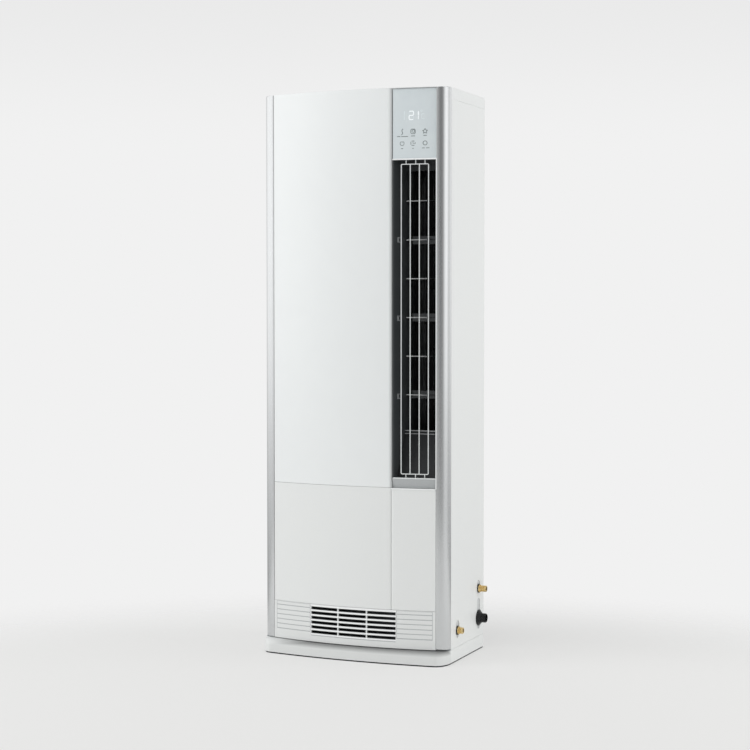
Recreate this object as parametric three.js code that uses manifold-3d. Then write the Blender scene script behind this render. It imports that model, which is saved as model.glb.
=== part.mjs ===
// Floor standing air conditioner: a tall slim cabinet with a bowed front, a wide plain panel on
// the left and a column on the right that holds the touch panel and a full-height air outlet.
// Millimetres, +Z up, front towards -Y. The origin is the centre of the plinth's underside.

import * as THREE from 'three';
import { mergeVertices } from 'three/addons/utils/BufferGeometryUtils.js';
import Module from 'manifold-3d';

const wasm = await Module();
wasm.setup();

// ---------------------------------------------------------------- driving dimensions

// Cabinet
const TOTAL_HEIGHT = 1800;
const BODY_HALF = 320; // centre line to the outside of a side panel
const TRIM_WIDTH = 39;
const SEAM_HALF = BODY_HALF - TRIM_WIDTH; // centre line to the joint between front and corner trim
const BODY_DEPTH = 334; // from that joint back to the rear face
const BODY_BACK = 192; // y of the cabinet's rear face
const SEAM_Y = BODY_BACK - BODY_DEPTH; // y of that joint
const FRONT_BOW = 30; // how far the front bulges between the two joints
const TRIM_DEPTH = 31; // front to back depth of a corner trim
const SHEET = 1.5; // steel sheet
const FLANGE_WIDTH = 14; // side panels' turned rear edge
const SHELL = 3; // moulded plastic wall
const TOUCH = 0.3; // clearance between pieces that sit on one another
const REVEAL = 0.4; // half of a visible joint between two covers

// Plinth
const PLINTH_HEIGHT = 45;
const PLINTH_REACH = 20; // how far the plinth stands out in front of the panels
const PLINTH_FRONT = SEAM_Y - FRONT_BOW - PLINTH_REACH;
const PLINTH_BOW = 19;
const PLINTH_ROUND = 16; // height of the rolled upper edge
const PLINTH_WALL = 4;
const PLINTH_STEP = 3; // height of the shadow step under the skirt
const PLINTH_STEP_IN = 5;

// Front panels
const PANEL_DEPTH = 14;
const COLUMN_WIDTH = 139.5;
const COLUMN_X = SEAM_HALF - COLUMN_WIDTH; // right edge of the upper left panel
const LOWER_SEAM_X = COLUMN_X - 2.7; // joint between the two lower panels
const INTAKE_HEIGHT = 124;
const INTAKE_TOP_Z = PLINTH_HEIGHT + INTAKE_HEIGHT; // joint above the intake grille
const LOWER_HEIGHT = 385;
const MID_SEAM_Z = INTAKE_TOP_Z + LOWER_HEIGHT; // joint between upper and lower panels
const UPPER_EDGE_ROUND = 10;
const LOWER_EDGE_ROUND = 6;
const FRAME_Y = SEAM_Y + TRIM_DEPTH + 7.4; // front face of the frame behind the panels
const RIB_BACK = FRAME_Y - 0.4; // y of the rear edge of the panels' ribs
const RIB_PITCH = 340;

// Top cover
const COVER_DEPTH = 37;
const COVER_SEAM_Z = TOTAL_HEIGHT - COVER_DEPTH;

// Outlet in the column
const SLOT_X0 = COLUMN_X + 2.7;
const SLOT_X1 = SEAM_HALF - 2;
const SILL_HEIGHT = 32;
const CONTROL_HEIGHT = 223;
const SLOT_Z0 = MID_SEAM_Z + SILL_HEIGHT;
const SLOT_Z1 = TOTAL_HEIGHT - CONTROL_HEIGHT;
const COLUMN_INSET = 5; // how far the column sits behind the bowed front
const DUCT_WALL = 2.4;
const TAPER = 30; // how much the duct narrows from the slot to the throat
const THROAT_X1 = SLOT_X1 - TAPER;
const THROAT_Y = SEAM_Y + 80; // where the duct has narrowed to the throat
const DUCT_BACK = SEAM_Y + 172;

// Outlet guard
const SLAT_COUNT = 4;
const SLAT_PITCH = 28.6;
const SLAT_WIDTH = 3.8;
const SLAT_DEPTH = 6;
const GUARD_MARGIN_TOP = 13;
const GUARD_MARGIN_BOTTOM = 7;
const GUARD_BAR = 4;

// Guide blades, which tip up and down
const RAMP_RISE = 142;
const RAMP_TOP_Z = SLOT_Z0 + RAMP_RISE;
const RAMP_FRONT_Y = SEAM_Y + 14;
const RAMP_THICK = 2.5;
const BLADE_PITCH = 122.9;
const BLADE_TOP_Z = SLOT_Z1 - 122;
const BLADE_COUNT = Math.floor((BLADE_TOP_Z - RAMP_TOP_Z) / BLADE_PITCH) + 1;
const BLADE_Y = THROAT_Y + 23; // hinge line
const BLADE_CHORD = 32;
const BLADE_THICK = 2.4;
const BLADE_PIN_R = 1.6;
const BLADE_CRANK = 12; // hinge line to link pin
const BLADE_LINK_X = SLOT_X0 + 7.8;
const BRACE_COUNT = Math.floor(BLADE_COUNT / 2);
const BRACE_HEIGHT = 25;
const BRACE_Y = BLADE_Y + 19;
const BRACE_THICK = 4;

// Swing vanes, which turn left and right
const VANE_COUNT = 3;
const VANE_PITCH = 34;
const VANE_Y = BLADE_Y + 42;
const VANE_CHORD = 34;
const VANE_THICK = 2;
const VANE_PIN_R = 2.5;
const VANE_CRANK = 13;
const VANE_LINK_THICK = 4;

// Heat exchanger
const COIL_SIDE_ROOM = 85; // from each end of the coil to the outside of the cabinet
const COIL_X1 = BODY_HALF - COIL_SIDE_ROOM;
const COIL_X0 = -COIL_X1;
const COIL_DEPTH = 30;
const COIL_BACK_ROOM = 12;
const COIL_Y0 = BODY_BACK - COIL_DEPTH - COIL_BACK_ROOM;
const TUBE_R = 4.8;
const TUBE_ROWS = 16;

// Cross-flow fan, which fills the room between the duct and the coil
const FAN_ROOM = 15; // around the rotor, front and back
const COIL_CLEAR = 2; // between the scroll's plates and the coil
const FAN_R = (COIL_Y0 - COIL_CLEAR - DUCT_BACK) / 2 - FAN_ROOM;
const FAN_X = THROAT_X1 - FAN_R - 0.2;
const FAN_Y = DUCT_BACK + FAN_R + FAN_ROOM - 1;
const FAN_BLADES = 12;
const FAN_BLADE_WIDTH = 13;
const FAN_DISC = 2;
const FAN_RINGS = 6; // discs along the rotor, both ends counted
const SHAFT_R = 5;
const SCROLL_R = FAN_R + 13;
const SCROLL_WALL = 2.4;
const MOTOR_R = FAN_R - 2;
const MOTOR_HEIGHT = 68;

// Shelf that carries the fan, and the cross bar of the frame above it
const SHELF_Z = MID_SEAM_Z - 54;
const SHELF_BACK = BODY_BACK - 54;
const FRAME_BAR_TOP = SHELF_Z + 45;

// Height of the coil, and the drain pan under it
const COIL_Z0 = SHELF_Z + 45;
const COIL_Z1 = TOTAL_HEIGHT - 255;
const PAN_Z = SHELF_Z + 30;
const PAN_HEIGHT = 22;

// Rear intake with its sliding filter
const INTAKE_HALF = COIL_X1 - 23;
const INTAKE_Z0 = COIL_Z0 + 73;
const INTAKE_Z1 = COIL_Z1 - 43;
const FILTER_THICK = 6;
const LOUVRE_PITCH = 44;

// Front intake grille
const GRID_WIDTH = 293;
const GRID_X0 = -139;
const GRID_X1 = GRID_X0 + GRID_WIDTH;
const GRID_Z0 = PLINTH_HEIGHT + 24.4;
const GRID_ROWS = 6;
const GRID_BAYS = 3;
const GRID_PITCH = 15.35;
const GRID_BAR = 5.6;
const GRID_MULLION = 4;
const BLIND_X = SEAM_HALF - 11;
const BLIND_GAP = 4;
const BLIND_GROOVE = 2.4;
const BLIND_DEPTH = 1.6;

// Side fittings
const PIPE_Y = BODY_BACK - 50; // upper union and drain
const UPPER_UNION_Z = PLINTH_HEIGHT + 157;
const DRAIN_Z = PLINTH_HEIGHT + 61;
const LOWER_UNION_Y = SEAM_Y + 90;
const LOWER_UNION_Z = PLINTH_HEIGHT + 53;
const SLOT_HALF_WIDTH = 13;
const UNION_R = 9.5;
const UNION_SIDES = 16;
const NUT_R = 15;
const NUT_THICK = 4;
const UPPER_REACH = 26;
const LOWER_REACH = 16.5;
const DRAIN_REACH = 28;
const FLANGE_R = 26;
const SPOUT_R = 15;
const GAS_R = 8;
const LIQUID_R = 4.8;
const HOSE_R = 11;
const HOSE_X = BODY_HALF - 65;
const HOSE_Y = BODY_BACK - 32;
const PLATE_THICK = 2;

// Electrical box and supply entry
const GLAND_X = -BODY_HALF + 70;
const GLAND_Z = PLINTH_HEIGHT + 75;
const BOX_WIDTH = 228.2;
const BOX_DEPTH = 140;
const BOX_HEIGHT = 220;
const BOX_X0 = -(BODY_HALF - SHEET - TOUCH);
const BOX_X1 = BOX_X0 + BOX_WIDTH;
const BOX_Y0 = FRAME_Y + 43.6;
const BOX_Y1 = BOX_Y0 + BOX_DEPTH;
const BOX_Z0 = SHELF_Z - 250;
const BOX_Z1 = BOX_Z0 + BOX_HEIGHT;

// ---------------------------------------------------------------- finishes

const finish = (color, roughness, metalness = 0) =>
  new THREE.MeshStandardMaterial({ color, roughness, metalness });

const glossWhite = finish('#e6ebea', 0.18);
const satinWhite = finish('#dfe2e1', 0.4);
const paintedSteel = finish('#dfe1e0', 0.45);
const silver = finish('#b9bdbe', 0.35, 0.4);
const greyPlastic = finish('#a5a8a8', 0.45);
const paleGlass = finish('#c8d0d3', 0.12);
const guardLight = finish('#d5d8d8', 0.4);
const bladeGrey = finish('#b0b4b4', 0.5);
const blackPlastic = finish('#17181a', 0.6);
const darkGrey = finish('#45484a', 0.6);
const galvanised = finish('#a9adb0', 0.5, 0.8);
const aluminium = finish('#c3c7c9', 0.4, 0.9);
const copper = finish('#b46a3c', 0.35, 0.9);
const brass = finish('#b8924f', 0.35, 0.9);
const rubberBlack = finish('#1c1f22', 0.7);
const boardGreen = finish('#2d5a3a', 0.6);
const filterGrey = finish('#6a7073', 0.8);

// ---------------------------------------------------------------- helpers

// A closed geometry as a solid that can be cut and joined. Its corners are moved to the nearest
// step of a fine grid, so that faces meant to lie in one plane do so exactly.
const GRID_STEPS = 1024; // per millimetre
const snap = (value) => Math.round(value * GRID_STEPS) / GRID_STEPS;

function toSolid(geometry) {
  const bare = geometry.clone();
  bare.deleteAttribute('normal');
  bare.deleteAttribute('uv');
  bare.attributes.position.array.forEach((value, i, all) => {
    all[i] = snap(value);
  });
  const merged = mergeVertices(bare, 1e-4);
  return new wasm.Manifold(new wasm.Mesh({
    numProp: 3,
    vertProperties: Float32Array.from(merged.attributes.position.array),
    triVerts: Uint32Array.from(merged.index.array),
  }));
}

function toGeometry(solid) {
  const mesh = solid.getMesh();
  const geometry = new THREE.BufferGeometry();
  geometry.setAttribute('position', new THREE.BufferAttribute(Float32Array.from(mesh.vertProperties), 3));
  geometry.setIndex(new THREE.BufferAttribute(Uint32Array.from(mesh.triVerts), 1));
  geometry.computeVertexNormals();
  return geometry;
}

const join = (...parts) => toGeometry(parts.map(toSolid).reduce((a, b) => a.add(b)));
const cut = (base, ...tools) => toGeometry(tools.map(toSolid).reduce((a, b) => a.subtract(b), toSolid(base)));
const common = (a, b) => toGeometry(toSolid(a).intersect(toSolid(b)));

// A box between two corners.
function box(x0, x1, y0, y1, z0, z1) {
  const geometry = new THREE.BoxGeometry(x1 - x0, y1 - y0, z1 - z0);
  return geometry.translate((x0 + x1) / 2, (y0 + y1) / 2, (z0 + z1) / 2);
}

// A plan outline, [x, y] points, raised from z0 to z1.
function prism(points, z0, z1) {
  const shape = new THREE.Shape(points.map(([x, y]) => new THREE.Vector2(x, y)));
  return new THREE.ExtrudeGeometry(shape, { depth: z1 - z0, bevelEnabled: false }).translate(0, 0, z0);
}

// A side outline, [y, z] points, running from x0 to x1.
function sidePrism(points, x0, x1) {
  const turn = new THREE.Matrix4().set(0, 0, 1, 0, 1, 0, 0, 0, 0, 1, 0, 0, 0, 0, 0, 1);
  const shape = new THREE.Shape(points.map(([y, z]) => new THREE.Vector2(y, z)));
  return new THREE.ExtrudeGeometry(shape, { depth: x1 - x0, bevelEnabled: false })
    .applyMatrix4(turn).translate(x0, 0, 0);
}

// Cylinders along each axis, from one end to the other.
function rodZ(x, y, r, z0, z1, sides = 16) {
  return new THREE.CylinderGeometry(r, r, z1 - z0, sides).rotateX(Math.PI / 2)
    .translate(x, y, (z0 + z1) / 2);
}

function rodX(y, z, r, x0, x1, sides = 16) {
  return new THREE.CylinderGeometry(r, r, x1 - x0, sides).rotateZ(Math.PI / 2)
    .translate((x0 + x1) / 2, y, z);
}

function rodY(x, z, r, y0, y1, sides = 16) {
  return new THREE.CylinderGeometry(r, r, y1 - y0, sides).translate(x, (y0 + y1) / 2, z);
}

// A turned piece whose axis is the X axis: profile points are [radius, distance along X].
function turnedX(profile, sides = 20) {
  const points = profile.map(([r, x]) => new THREE.Vector2(r, x));
  return new THREE.LatheGeometry(points, sides).rotateZ(-Math.PI / 2);
}

// A turned piece whose axis is the Z axis: profile points are [radius, height].
function turnedZ(profile, sides = 20) {
  const points = profile.map(([r, z]) => new THREE.Vector2(r, z));
  return new THREE.LatheGeometry(points, sides).rotateX(Math.PI / 2);
}

// A skin through plan outlines that all have the same number of points, closed by flat ends.
function loft(rings) {
  const count = rings[0].points.length;
  const positions = rings.flatMap(({ points, z }) => points.flatMap(([x, y]) => [x, y, z]));
  const index = [];
  for (let ring = 0; ring < rings.length - 1; ring++) {
    for (let i = 0; i < count; i++) {
      const a = ring * count + i;
      const b = ring * count + (i + 1) % count;
      index.push(a, b, b + count, a, b + count, a + count);
    }
  }
  const cap = (ring) => THREE.ShapeUtils.triangulateShape(
    rings[ring].points.map(([x, y]) => new THREE.Vector2(x, y)), []);
  const top = (rings.length - 1) * count;
  cap(0).forEach(([a, b, c]) => index.push(c, b, a));
  cap(rings.length - 1).forEach(([a, b, c]) => index.push(top + a, top + b, top + c));
  const geometry = new THREE.BufferGeometry();
  geometry.setAttribute('position', new THREE.Float32BufferAttribute(positions, 3));
  geometry.setIndex(index);
  return geometry;
}

// A round pipe along straight runs with rounded corners.
function pipe(corners, radius, bend, sides = 10) {
  const bendSteps = 4;
  const points = corners.map((c) => new THREE.Vector3(...c));
  const centres = [points[0]];
  for (let i = 1; i < points.length - 1; i++) {
    const into = points[i - 1].clone().sub(points[i]).normalize();
    const out = points[i + 1].clone().sub(points[i]).normalize();
    const start = points[i].clone().addScaledVector(into, bend);
    const end = points[i].clone().addScaledVector(out, bend);
    const curve = new THREE.QuadraticBezierCurve3(start, points[i], end);
    centres.push(...curve.getPoints(bendSteps));
  }
  centres.push(points[points.length - 1]);
  return sweep(centres, radius, sides);
}

// A round section carried along a line of centres without twist.
function sweep(centres, radius, sides) {
  const last = centres.length - 1;
  const direction = (i) => centres[Math.min(i + 1, last)].clone().sub(centres[Math.max(i - 1, 0)]).normalize();
  let side = new THREE.Vector3(0, 0, 1);
  if (Math.abs(direction(0).z) > 0.9) side.set(1, 0, 0);
  const positions = [];
  for (let i = 0; i <= last; i++) {
    const along = direction(i);
    side = side.addScaledVector(along, -side.dot(along)).normalize();
    const up = along.clone().cross(side);
    for (let k = 0; k < sides; k++) {
      const angle = 2 * Math.PI * k / sides;
      const point = centres[i].clone().addScaledVector(side, radius * Math.cos(angle))
        .addScaledVector(up, radius * Math.sin(angle));
      positions.push(point.x, point.y, point.z);
    }
  }
  const index = [];
  for (let i = 0; i < last; i++) {
    for (let k = 0; k < sides; k++) {
      const a = i * sides + k;
      const b = i * sides + (k + 1) % sides;
      index.push(a, b, b + sides, a, b + sides, a + sides);
    }
  }
  for (let k = 1; k < sides - 1; k++) {
    index.push(0, k + 1, k);
    index.push(last * sides, last * sides + k, last * sides + k + 1);
  }
  const geometry = new THREE.BufferGeometry();
  geometry.setAttribute('position', new THREE.Float32BufferAttribute(positions, 3));
  geometry.setIndex(index);
  return geometry;
}

const range = (count) => Array.from({ length: count }, (_, i) => i);

// ---------------------------------------------------------------- the bowed front, in plan

const FRONT_RADIUS = (SEAM_HALF ** 2 + FRONT_BOW ** 2) / (2 * FRONT_BOW);
const ARC_STEPS = 20;

// y of the bowed front at x, or of a surface that lies inset behind it.
function frontY(x, inset = 0) {
  const radius = FRONT_RADIUS - inset;
  return SEAM_Y - FRONT_BOW + FRONT_RADIUS - Math.sqrt(radius ** 2 - x ** 2);
}

// Points along that surface from x0 to x1.
function frontLine(x0, x1, inset = 0) {
  const steps = Math.max(3, Math.round(ARC_STEPS * Math.abs(x1 - x0) / (2 * SEAM_HALF)));
  return range(steps + 1).map((i) => {
    const x = x0 + (x1 - x0) * i / steps;
    return [x, frontY(x, inset)];
  });
}

// A quarter round at a panel's upright edge; side is -1 at its left end and 1 at its right end.
function edgeRound(x, radius, inset, side) {
  const steps = 4;
  const centreX = x - side * radius;
  const centreY = frontY(centreX, inset) + radius;
  const points = range(steps + 1).map((i) => {
    const angle = (Math.PI / 2) * i / steps;
    return [centreX + side * radius * Math.sin(angle), centreY - radius * Math.cos(angle)];
  });
  return side > 0 ? points : points.reverse();
}

// Plan of a strip of the front from x0 to x1, between two insets, with rounded front edges.
function stripPlan(x0, x1, near, far, round0 = 0, round1 = 0) {
  const left = round0 > 0 ? edgeRound(x0, round0, near, -1) : [[x0, frontY(x0, near)]];
  const right = round1 > 0 ? edgeRound(x1, round1, near, 1) : [[x1, frontY(x1, near)]];
  const middle = frontLine(x0 + round0, x1 - round1, near).slice(1, -1);
  return [...left, ...middle, ...right, ...frontLine(x1, x0, far)];
}

// A moulded front panel: a bowed tray, open behind, with level ribs that reach the frame.
function frontPanel({ x0, x1, z0, z1, inset = 0, depth = PANEL_DEPTH, round0 = 1, round1 = 1, ribs = [] }) {
  const outer = prism(stripPlan(x0, x1, inset, inset + depth, round0, round1), z0, z1);
  const hollow = prism(
    stripPlan(x0 + SHELL, x1 - SHELL, inset + SHELL, inset + depth + 1), z0 + SHELL, z1 - SHELL);
  const shell = cut(outer, hollow);
  const reach = (z) => {
    const front = frontLine(x0 + SHELL / 2, x1 - SHELL / 2, inset + SHELL / 2);
    const back = [[x1 - SHELL / 2, RIB_BACK], [x0 + SHELL / 2, RIB_BACK]];
    return prism([...front, ...back], z, z + SHELL);
  };
  return ribs.length > 0 ? join(shell, ...ribs.map(reach)) : shell;
}

// ---------------------------------------------------------------- the assembly

const airConditioner = new THREE.Group();

function add(name, geometry, material, place = [0, 0, 0]) {
  const mesh = new THREE.Mesh(geometry, material);
  mesh.name = name;
  mesh.position.set(...place);
  airConditioner.add(mesh);
  return mesh;
}

// Plinth: a moulded tray with a rolled front edge, on a flat floor plate.
function plinthOutline(grow, shrink = 0) {
  const bow = FRONT_BOW + (PLINTH_BOW - FRONT_BOW) * grow;
  const middle = (SEAM_Y - FRONT_BOW) + (PLINTH_FRONT - SEAM_Y + FRONT_BOW) * grow + shrink;
  const half = SEAM_HALF - shrink;
  const radius = (half ** 2 + bow ** 2) / (2 * bow);
  const front = range(ARC_STEPS + 1).map((i) => {
    const x = -half + 2 * half * i / ARC_STEPS;
    return [x, middle + radius - Math.sqrt(radius ** 2 - x ** 2)];
  });
  const seam = front[ARC_STEPS][1];
  const back = SEAM_Y + TRIM_DEPTH;
  const corner = range(5).map((i) => {
    const angle = (Math.PI / 2) * (i + 1) / 5;
    const x = half + (BODY_HALF - SEAM_HALF) * Math.sin(angle);
    return [x, back - (back - seam) * Math.cos(angle)];
  });
  const rear = BODY_BACK - 2 - shrink;
  const mirrored = corner.map(([x, y]) => [-x, y]).reverse();
  return [...front, ...corner, [BODY_HALF - shrink, rear], [-BODY_HALF + shrink, rear], ...mirrored];
}

function makePlinth() {
  const wallTop = PLINTH_HEIGHT - PLINTH_ROUND;
  const rolled = range(5).map((i) => {
    const angle = (Math.PI / 2) * i / 4;
    return { points: plinthOutline(Math.cos(angle)), z: wallTop + PLINTH_ROUND * Math.sin(angle) };
  });
  const skin = loft([
    { points: plinthOutline(1, PLINTH_STEP_IN), z: 0 },
    { points: plinthOutline(1, PLINTH_STEP_IN), z: PLINTH_STEP },
    { points: plinthOutline(1), z: PLINTH_STEP },
    ...rolled,
  ]);
  const pocket = prism(
    plinthOutline(0, PLINTH_WALL + PLINTH_STEP_IN), PLINTH_WALL, PLINTH_HEIGHT + 1);
  const ribX = 100;
  const ribs = [-2, 0, 2].map((i) => box(i * ribX - 2, i * ribX + 2,
    frontY(i * ribX) + 6, BODY_BACK - 6, PLINTH_WALL - 1, PLINTH_HEIGHT - 0.5));
  return join(cut(skin, pocket), ...ribs);
}
add('plinth', makePlinth(), satinWhite);

// Base pan: a steel tray on the plinth that carries the side, rear and front frames.
const PAN_PLATE_TOP = PLINTH_HEIGHT + SHEET;
function makeBasePan() {
  const half = BODY_HALF - SHEET;
  const plate = box(-half, half, FRAME_Y - 20, BODY_BACK - SHEET, PLINTH_HEIGHT, PAN_PLATE_TOP);
  const inner = BODY_HALF - 3 * SHEET;
  const lipTop = PLINTH_HEIGHT + 18;
  const lip = (x) => box(x, x + SHEET, FRAME_Y + 13.6, BODY_BACK - 10, PLINTH_HEIGHT + SHEET / 2, lipTop);
  return join(plate, lip(-inner), lip(inner - SHEET));
}
add('base_pan', makeBasePan(), galvanised);

// Side panels: steel sheets with a flange that turns round the rear corner.
const PANEL_FRONT_Y = SEAM_Y + TRIM_DEPTH + TOUCH;
const PANEL_TOP_Z = COVER_SEAM_Z - TOUCH;
function sidePanel(side) {
  const outside = BODY_HALF;
  const inside = BODY_HALF - SHEET;
  const flange = BODY_HALF - FLANGE_WIDTH;
  const plan = [[inside, PANEL_FRONT_Y], [outside, PANEL_FRONT_Y], [outside, BODY_BACK],
    [flange, BODY_BACK], [flange, BODY_BACK - SHEET], [inside, BODY_BACK - SHEET]];
  const flipped = plan.map(([x, y]) => [-x, y]).reverse();
  return prism(side > 0 ? plan : flipped, PAN_PLATE_TOP, PANEL_TOP_Z);
}

// An upright slot with round ends through the side panel.
function obround(y, z0, z1, halfWidth) {
  const steps = 8;
  const end = (z, from) => range(steps + 1).map((i) => {
    const angle = from + Math.PI * i / steps;
    return [y + halfWidth * Math.cos(angle), z + halfWidth * Math.sin(angle)];
  });
  const outline = [...end(z1 - halfWidth, 0), ...end(z0 + halfWidth, Math.PI)];
  return sidePrism(outline, BODY_HALF - 8, BODY_HALF + 2);
}
const SIDE_SLOTS = [
  obround(PIPE_Y, UPPER_UNION_Z - SLOT_HALF_WIDTH - 1, UPPER_UNION_Z + 27, SLOT_HALF_WIDTH),
  obround(PIPE_Y, DRAIN_Z - 36, DRAIN_Z + 65, SLOT_HALF_WIDTH),
  obround(LOWER_UNION_Y, LOWER_UNION_Z - 24, LOWER_UNION_Z + 32, SLOT_HALF_WIDTH),
];
add('left_side_panel', sidePanel(-1), paintedSteel);
add('right_side_panel', cut(sidePanel(1), ...SIDE_SLOTS), paintedSteel);

// Rear panel with the opening for the intake.
function makeRearPanel() {
  const half = BODY_HALF - SHEET - TOUCH;
  const face = BODY_BACK - SHEET - TOUCH;
  const sheet = box(-half, half, face - SHEET, face, PAN_PLATE_TOP, TOTAL_HEIGHT - 3);
  const opening = box(-INTAKE_HALF, INTAKE_HALF, face - 5, face + 5, INTAKE_Z0, INTAKE_Z1);
  const gland = rodY(GLAND_X, GLAND_Z, 12, face - 5, face + 5);
  return cut(sheet, opening, gland);
}
add('rear_panel', makeRearPanel(), galvanised);

const PANEL_EDGE = SEAM_HALF - REVEAL;

// Top cover: flush cap with a skirt over the side and rear panels.
function makeTopCover() {
  const inset = PANEL_DEPTH + TOUCH;
  const edge = BODY_HALF - SHEET;
  const plan = [
    [-BODY_HALF, PANEL_FRONT_Y], [-PANEL_EDGE, PANEL_FRONT_Y], ...frontLine(-PANEL_EDGE, PANEL_EDGE, inset),
    [PANEL_EDGE, PANEL_FRONT_Y], [BODY_HALF, PANEL_FRONT_Y], [BODY_HALF, BODY_BACK], [-BODY_HALF, BODY_BACK],
  ];
  const block = prism(plan, COVER_SEAM_Z, TOTAL_HEIGHT);
  return cut(block, box(-edge, edge, -BODY_HALF, BODY_BACK - SHEET, COVER_SEAM_Z - 5, TOTAL_HEIGHT - SHEET));
}
add('top_cover', makeTopCover(), paintedSteel);

// Corner trims: rounded hollow mouldings, closed at both ends, with a tongue under the side panel.
function trimPlan(inset) {
  const steps = 10;
  const x0 = SEAM_HALF + REVEAL;
  const width = BODY_HALF - x0;
  return range(steps + 1).map((i) => {
    const angle = (Math.PI / 2) * i / steps;
    return [x0 + inset + (width - 2 * inset) * Math.sin(angle),
      SEAM_Y + TRIM_DEPTH - (TRIM_DEPTH - inset) * Math.cos(angle)];
  });
}

function makeTrim(side) {
  const x0 = SEAM_HALF + REVEAL;
  const back = SEAM_Y + TRIM_DEPTH;
  const tongueOut = BODY_HALF - SHEET - TOUCH;
  const tongueIn = tongueOut - SHELL;
  const outer = [...trimPlan(0), [tongueOut, back], [tongueOut, back + 7], [tongueIn, back + 7],
    [tongueIn, back], [x0, back]];
  const body = prism(outer, PAN_PLATE_TOP, TOTAL_HEIGHT - TOUCH);
  const hollow = prism([...trimPlan(SHELL), [x0 + SHELL, back + 1]],
    PAN_PLATE_TOP + SHELL, TOTAL_HEIGHT - SHELL);
  const behind = box(x0 + SHELL, tongueIn, back - SHELL, back + 1, PAN_PLATE_TOP + SHELL, TOTAL_HEIGHT - SHELL);
  const tongueEnd = box(tongueIn - 1, BODY_HALF, back, back + 9, TOTAL_HEIGHT - SHEET - TOUCH, TOTAL_HEIGHT);
  const trim = cut(body, hollow, behind, tongueEnd);
  return side > 0 ? trim : mirrored(trim);
}

// The same piece on the other side of the centre plane.
function mirrored(geometry) {
  return toGeometry(toSolid(geometry).mirror([1, 0, 0]));
}
add('left_trim', makeTrim(-1), silver);
add('right_trim', makeTrim(1), silver);

// Heights of the ribs behind a panel, one pitch apart.
const ribsFrom = (z, end) => range(Math.floor((end - z) / RIB_PITCH) + 1).map((i) => z + i * RIB_PITCH);

// Front panels.
const PANEL_TOP = TOTAL_HEIGHT - TOUCH;
add('upper_front_panel', frontPanel({
  x0: -PANEL_EDGE, x1: COLUMN_X, z0: MID_SEAM_Z + REVEAL, z1: PANEL_TOP,
  round0: 2, round1: UPPER_EDGE_ROUND,
  ribs: [...ribsFrom(MID_SEAM_Z + 66, TOTAL_HEIGHT - 200), TOTAL_HEIGHT - 100],
}), glossWhite);
add('lower_front_panel_left', frontPanel({
  x0: -PANEL_EDGE, x1: LOWER_SEAM_X - REVEAL, z0: INTAKE_TOP_Z + REVEAL, z1: MID_SEAM_Z - REVEAL,
  round0: 2, round1: LOWER_EDGE_ROUND, ribs: ribsFrom(INTAKE_TOP_Z + 11, MID_SEAM_Z - 10),
}), satinWhite);
const SILL_BOTTOM = MID_SEAM_Z - 3;
add('lower_front_panel_right', frontPanel({
  x0: LOWER_SEAM_X + REVEAL, x1: PANEL_EDGE, z0: INTAKE_TOP_Z + REVEAL, z1: SILL_BOTTOM - TOUCH,
  round0: LOWER_EDGE_ROUND, round1: 2, ribs: ribsFrom(INTAKE_TOP_Z + 11, MID_SEAM_Z - 10),
}), satinWhite);

// Intake grille at the foot of the front: an open grid between two fields of blind grooves.
function makeIntakeGrille() {
  const panel = frontPanel({
    x0: -PANEL_EDGE, x1: PANEL_EDGE, z0: PAN_PLATE_TOP, z1: INTAKE_TOP_Z - REVEAL,
    round0: 2, round1: 2, ribs: [PAN_PLATE_TOP + 0.5, INTAKE_TOP_Z - REVEAL - SHELL - 0.5],
  });
  const bay = (GRID_X1 - GRID_X0 - (GRID_BAYS - 1) * GRID_MULLION) / GRID_BAYS;
  const tools = [];
  for (const row of range(GRID_ROWS)) {
    const z = GRID_Z0 + row * GRID_PITCH;
    const z1 = z + GRID_PITCH - GRID_BAR;
    for (const i of range(GRID_BAYS)) {
      const x = GRID_X0 + i * (bay + GRID_MULLION);
      tools.push(box(x, x + bay, frontY(0) - SHELL, frontY(x) + 12, z, z1));
    }
    const groove = (x0, x1) => prism(stripPlan(x0, x1, -2, BLIND_DEPTH), z, z + BLIND_GROOVE);
    tools.push(groove(-BLIND_X, GRID_X0 - BLIND_GAP), groove(GRID_X1 + BLIND_GAP, BLIND_X));
  }
  return cut(panel, ...tools);
}
add('intake_grille', makeIntakeGrille(), satinWhite);

// Column: glass touch panel above the outlet and a grey sill under it.
const COLUMN_X0 = COLUMN_X + 2 * REVEAL;
const DUCT_TOP = SLOT_Z1 + DUCT_WALL;
const DUCT_BOTTOM = SLOT_Z0 - DUCT_WALL;
add('control_panel', frontPanel({
  x0: COLUMN_X0, x1: PANEL_EDGE, z0: DUCT_TOP + TOUCH, z1: TOTAL_HEIGHT - 2,
  inset: COLUMN_INSET, depth: 10, round0: 1, round1: 1,
}), paleGlass);

function makeSill() {
  const far = COLUMN_INSET + 14;
  const top = DUCT_BOTTOM - TOUCH;
  const block = loft([
    { points: stripPlan(COLUMN_X0, PANEL_EDGE, COLUMN_INSET + 7, far), z: SILL_BOTTOM },
    { points: stripPlan(COLUMN_X0, PANEL_EDGE, COLUMN_INSET - 2, far), z: top },
  ]);
  const lip = prism(stripPlan(COLUMN_X0, PANEL_EDGE, COLUMN_INSET - 2.5, COLUMN_INSET - TOUCH), top - 4, SLOT_Z0);
  return join(block, lip);
}
add('outlet_sill', makeSill(), greyPlastic);

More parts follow.
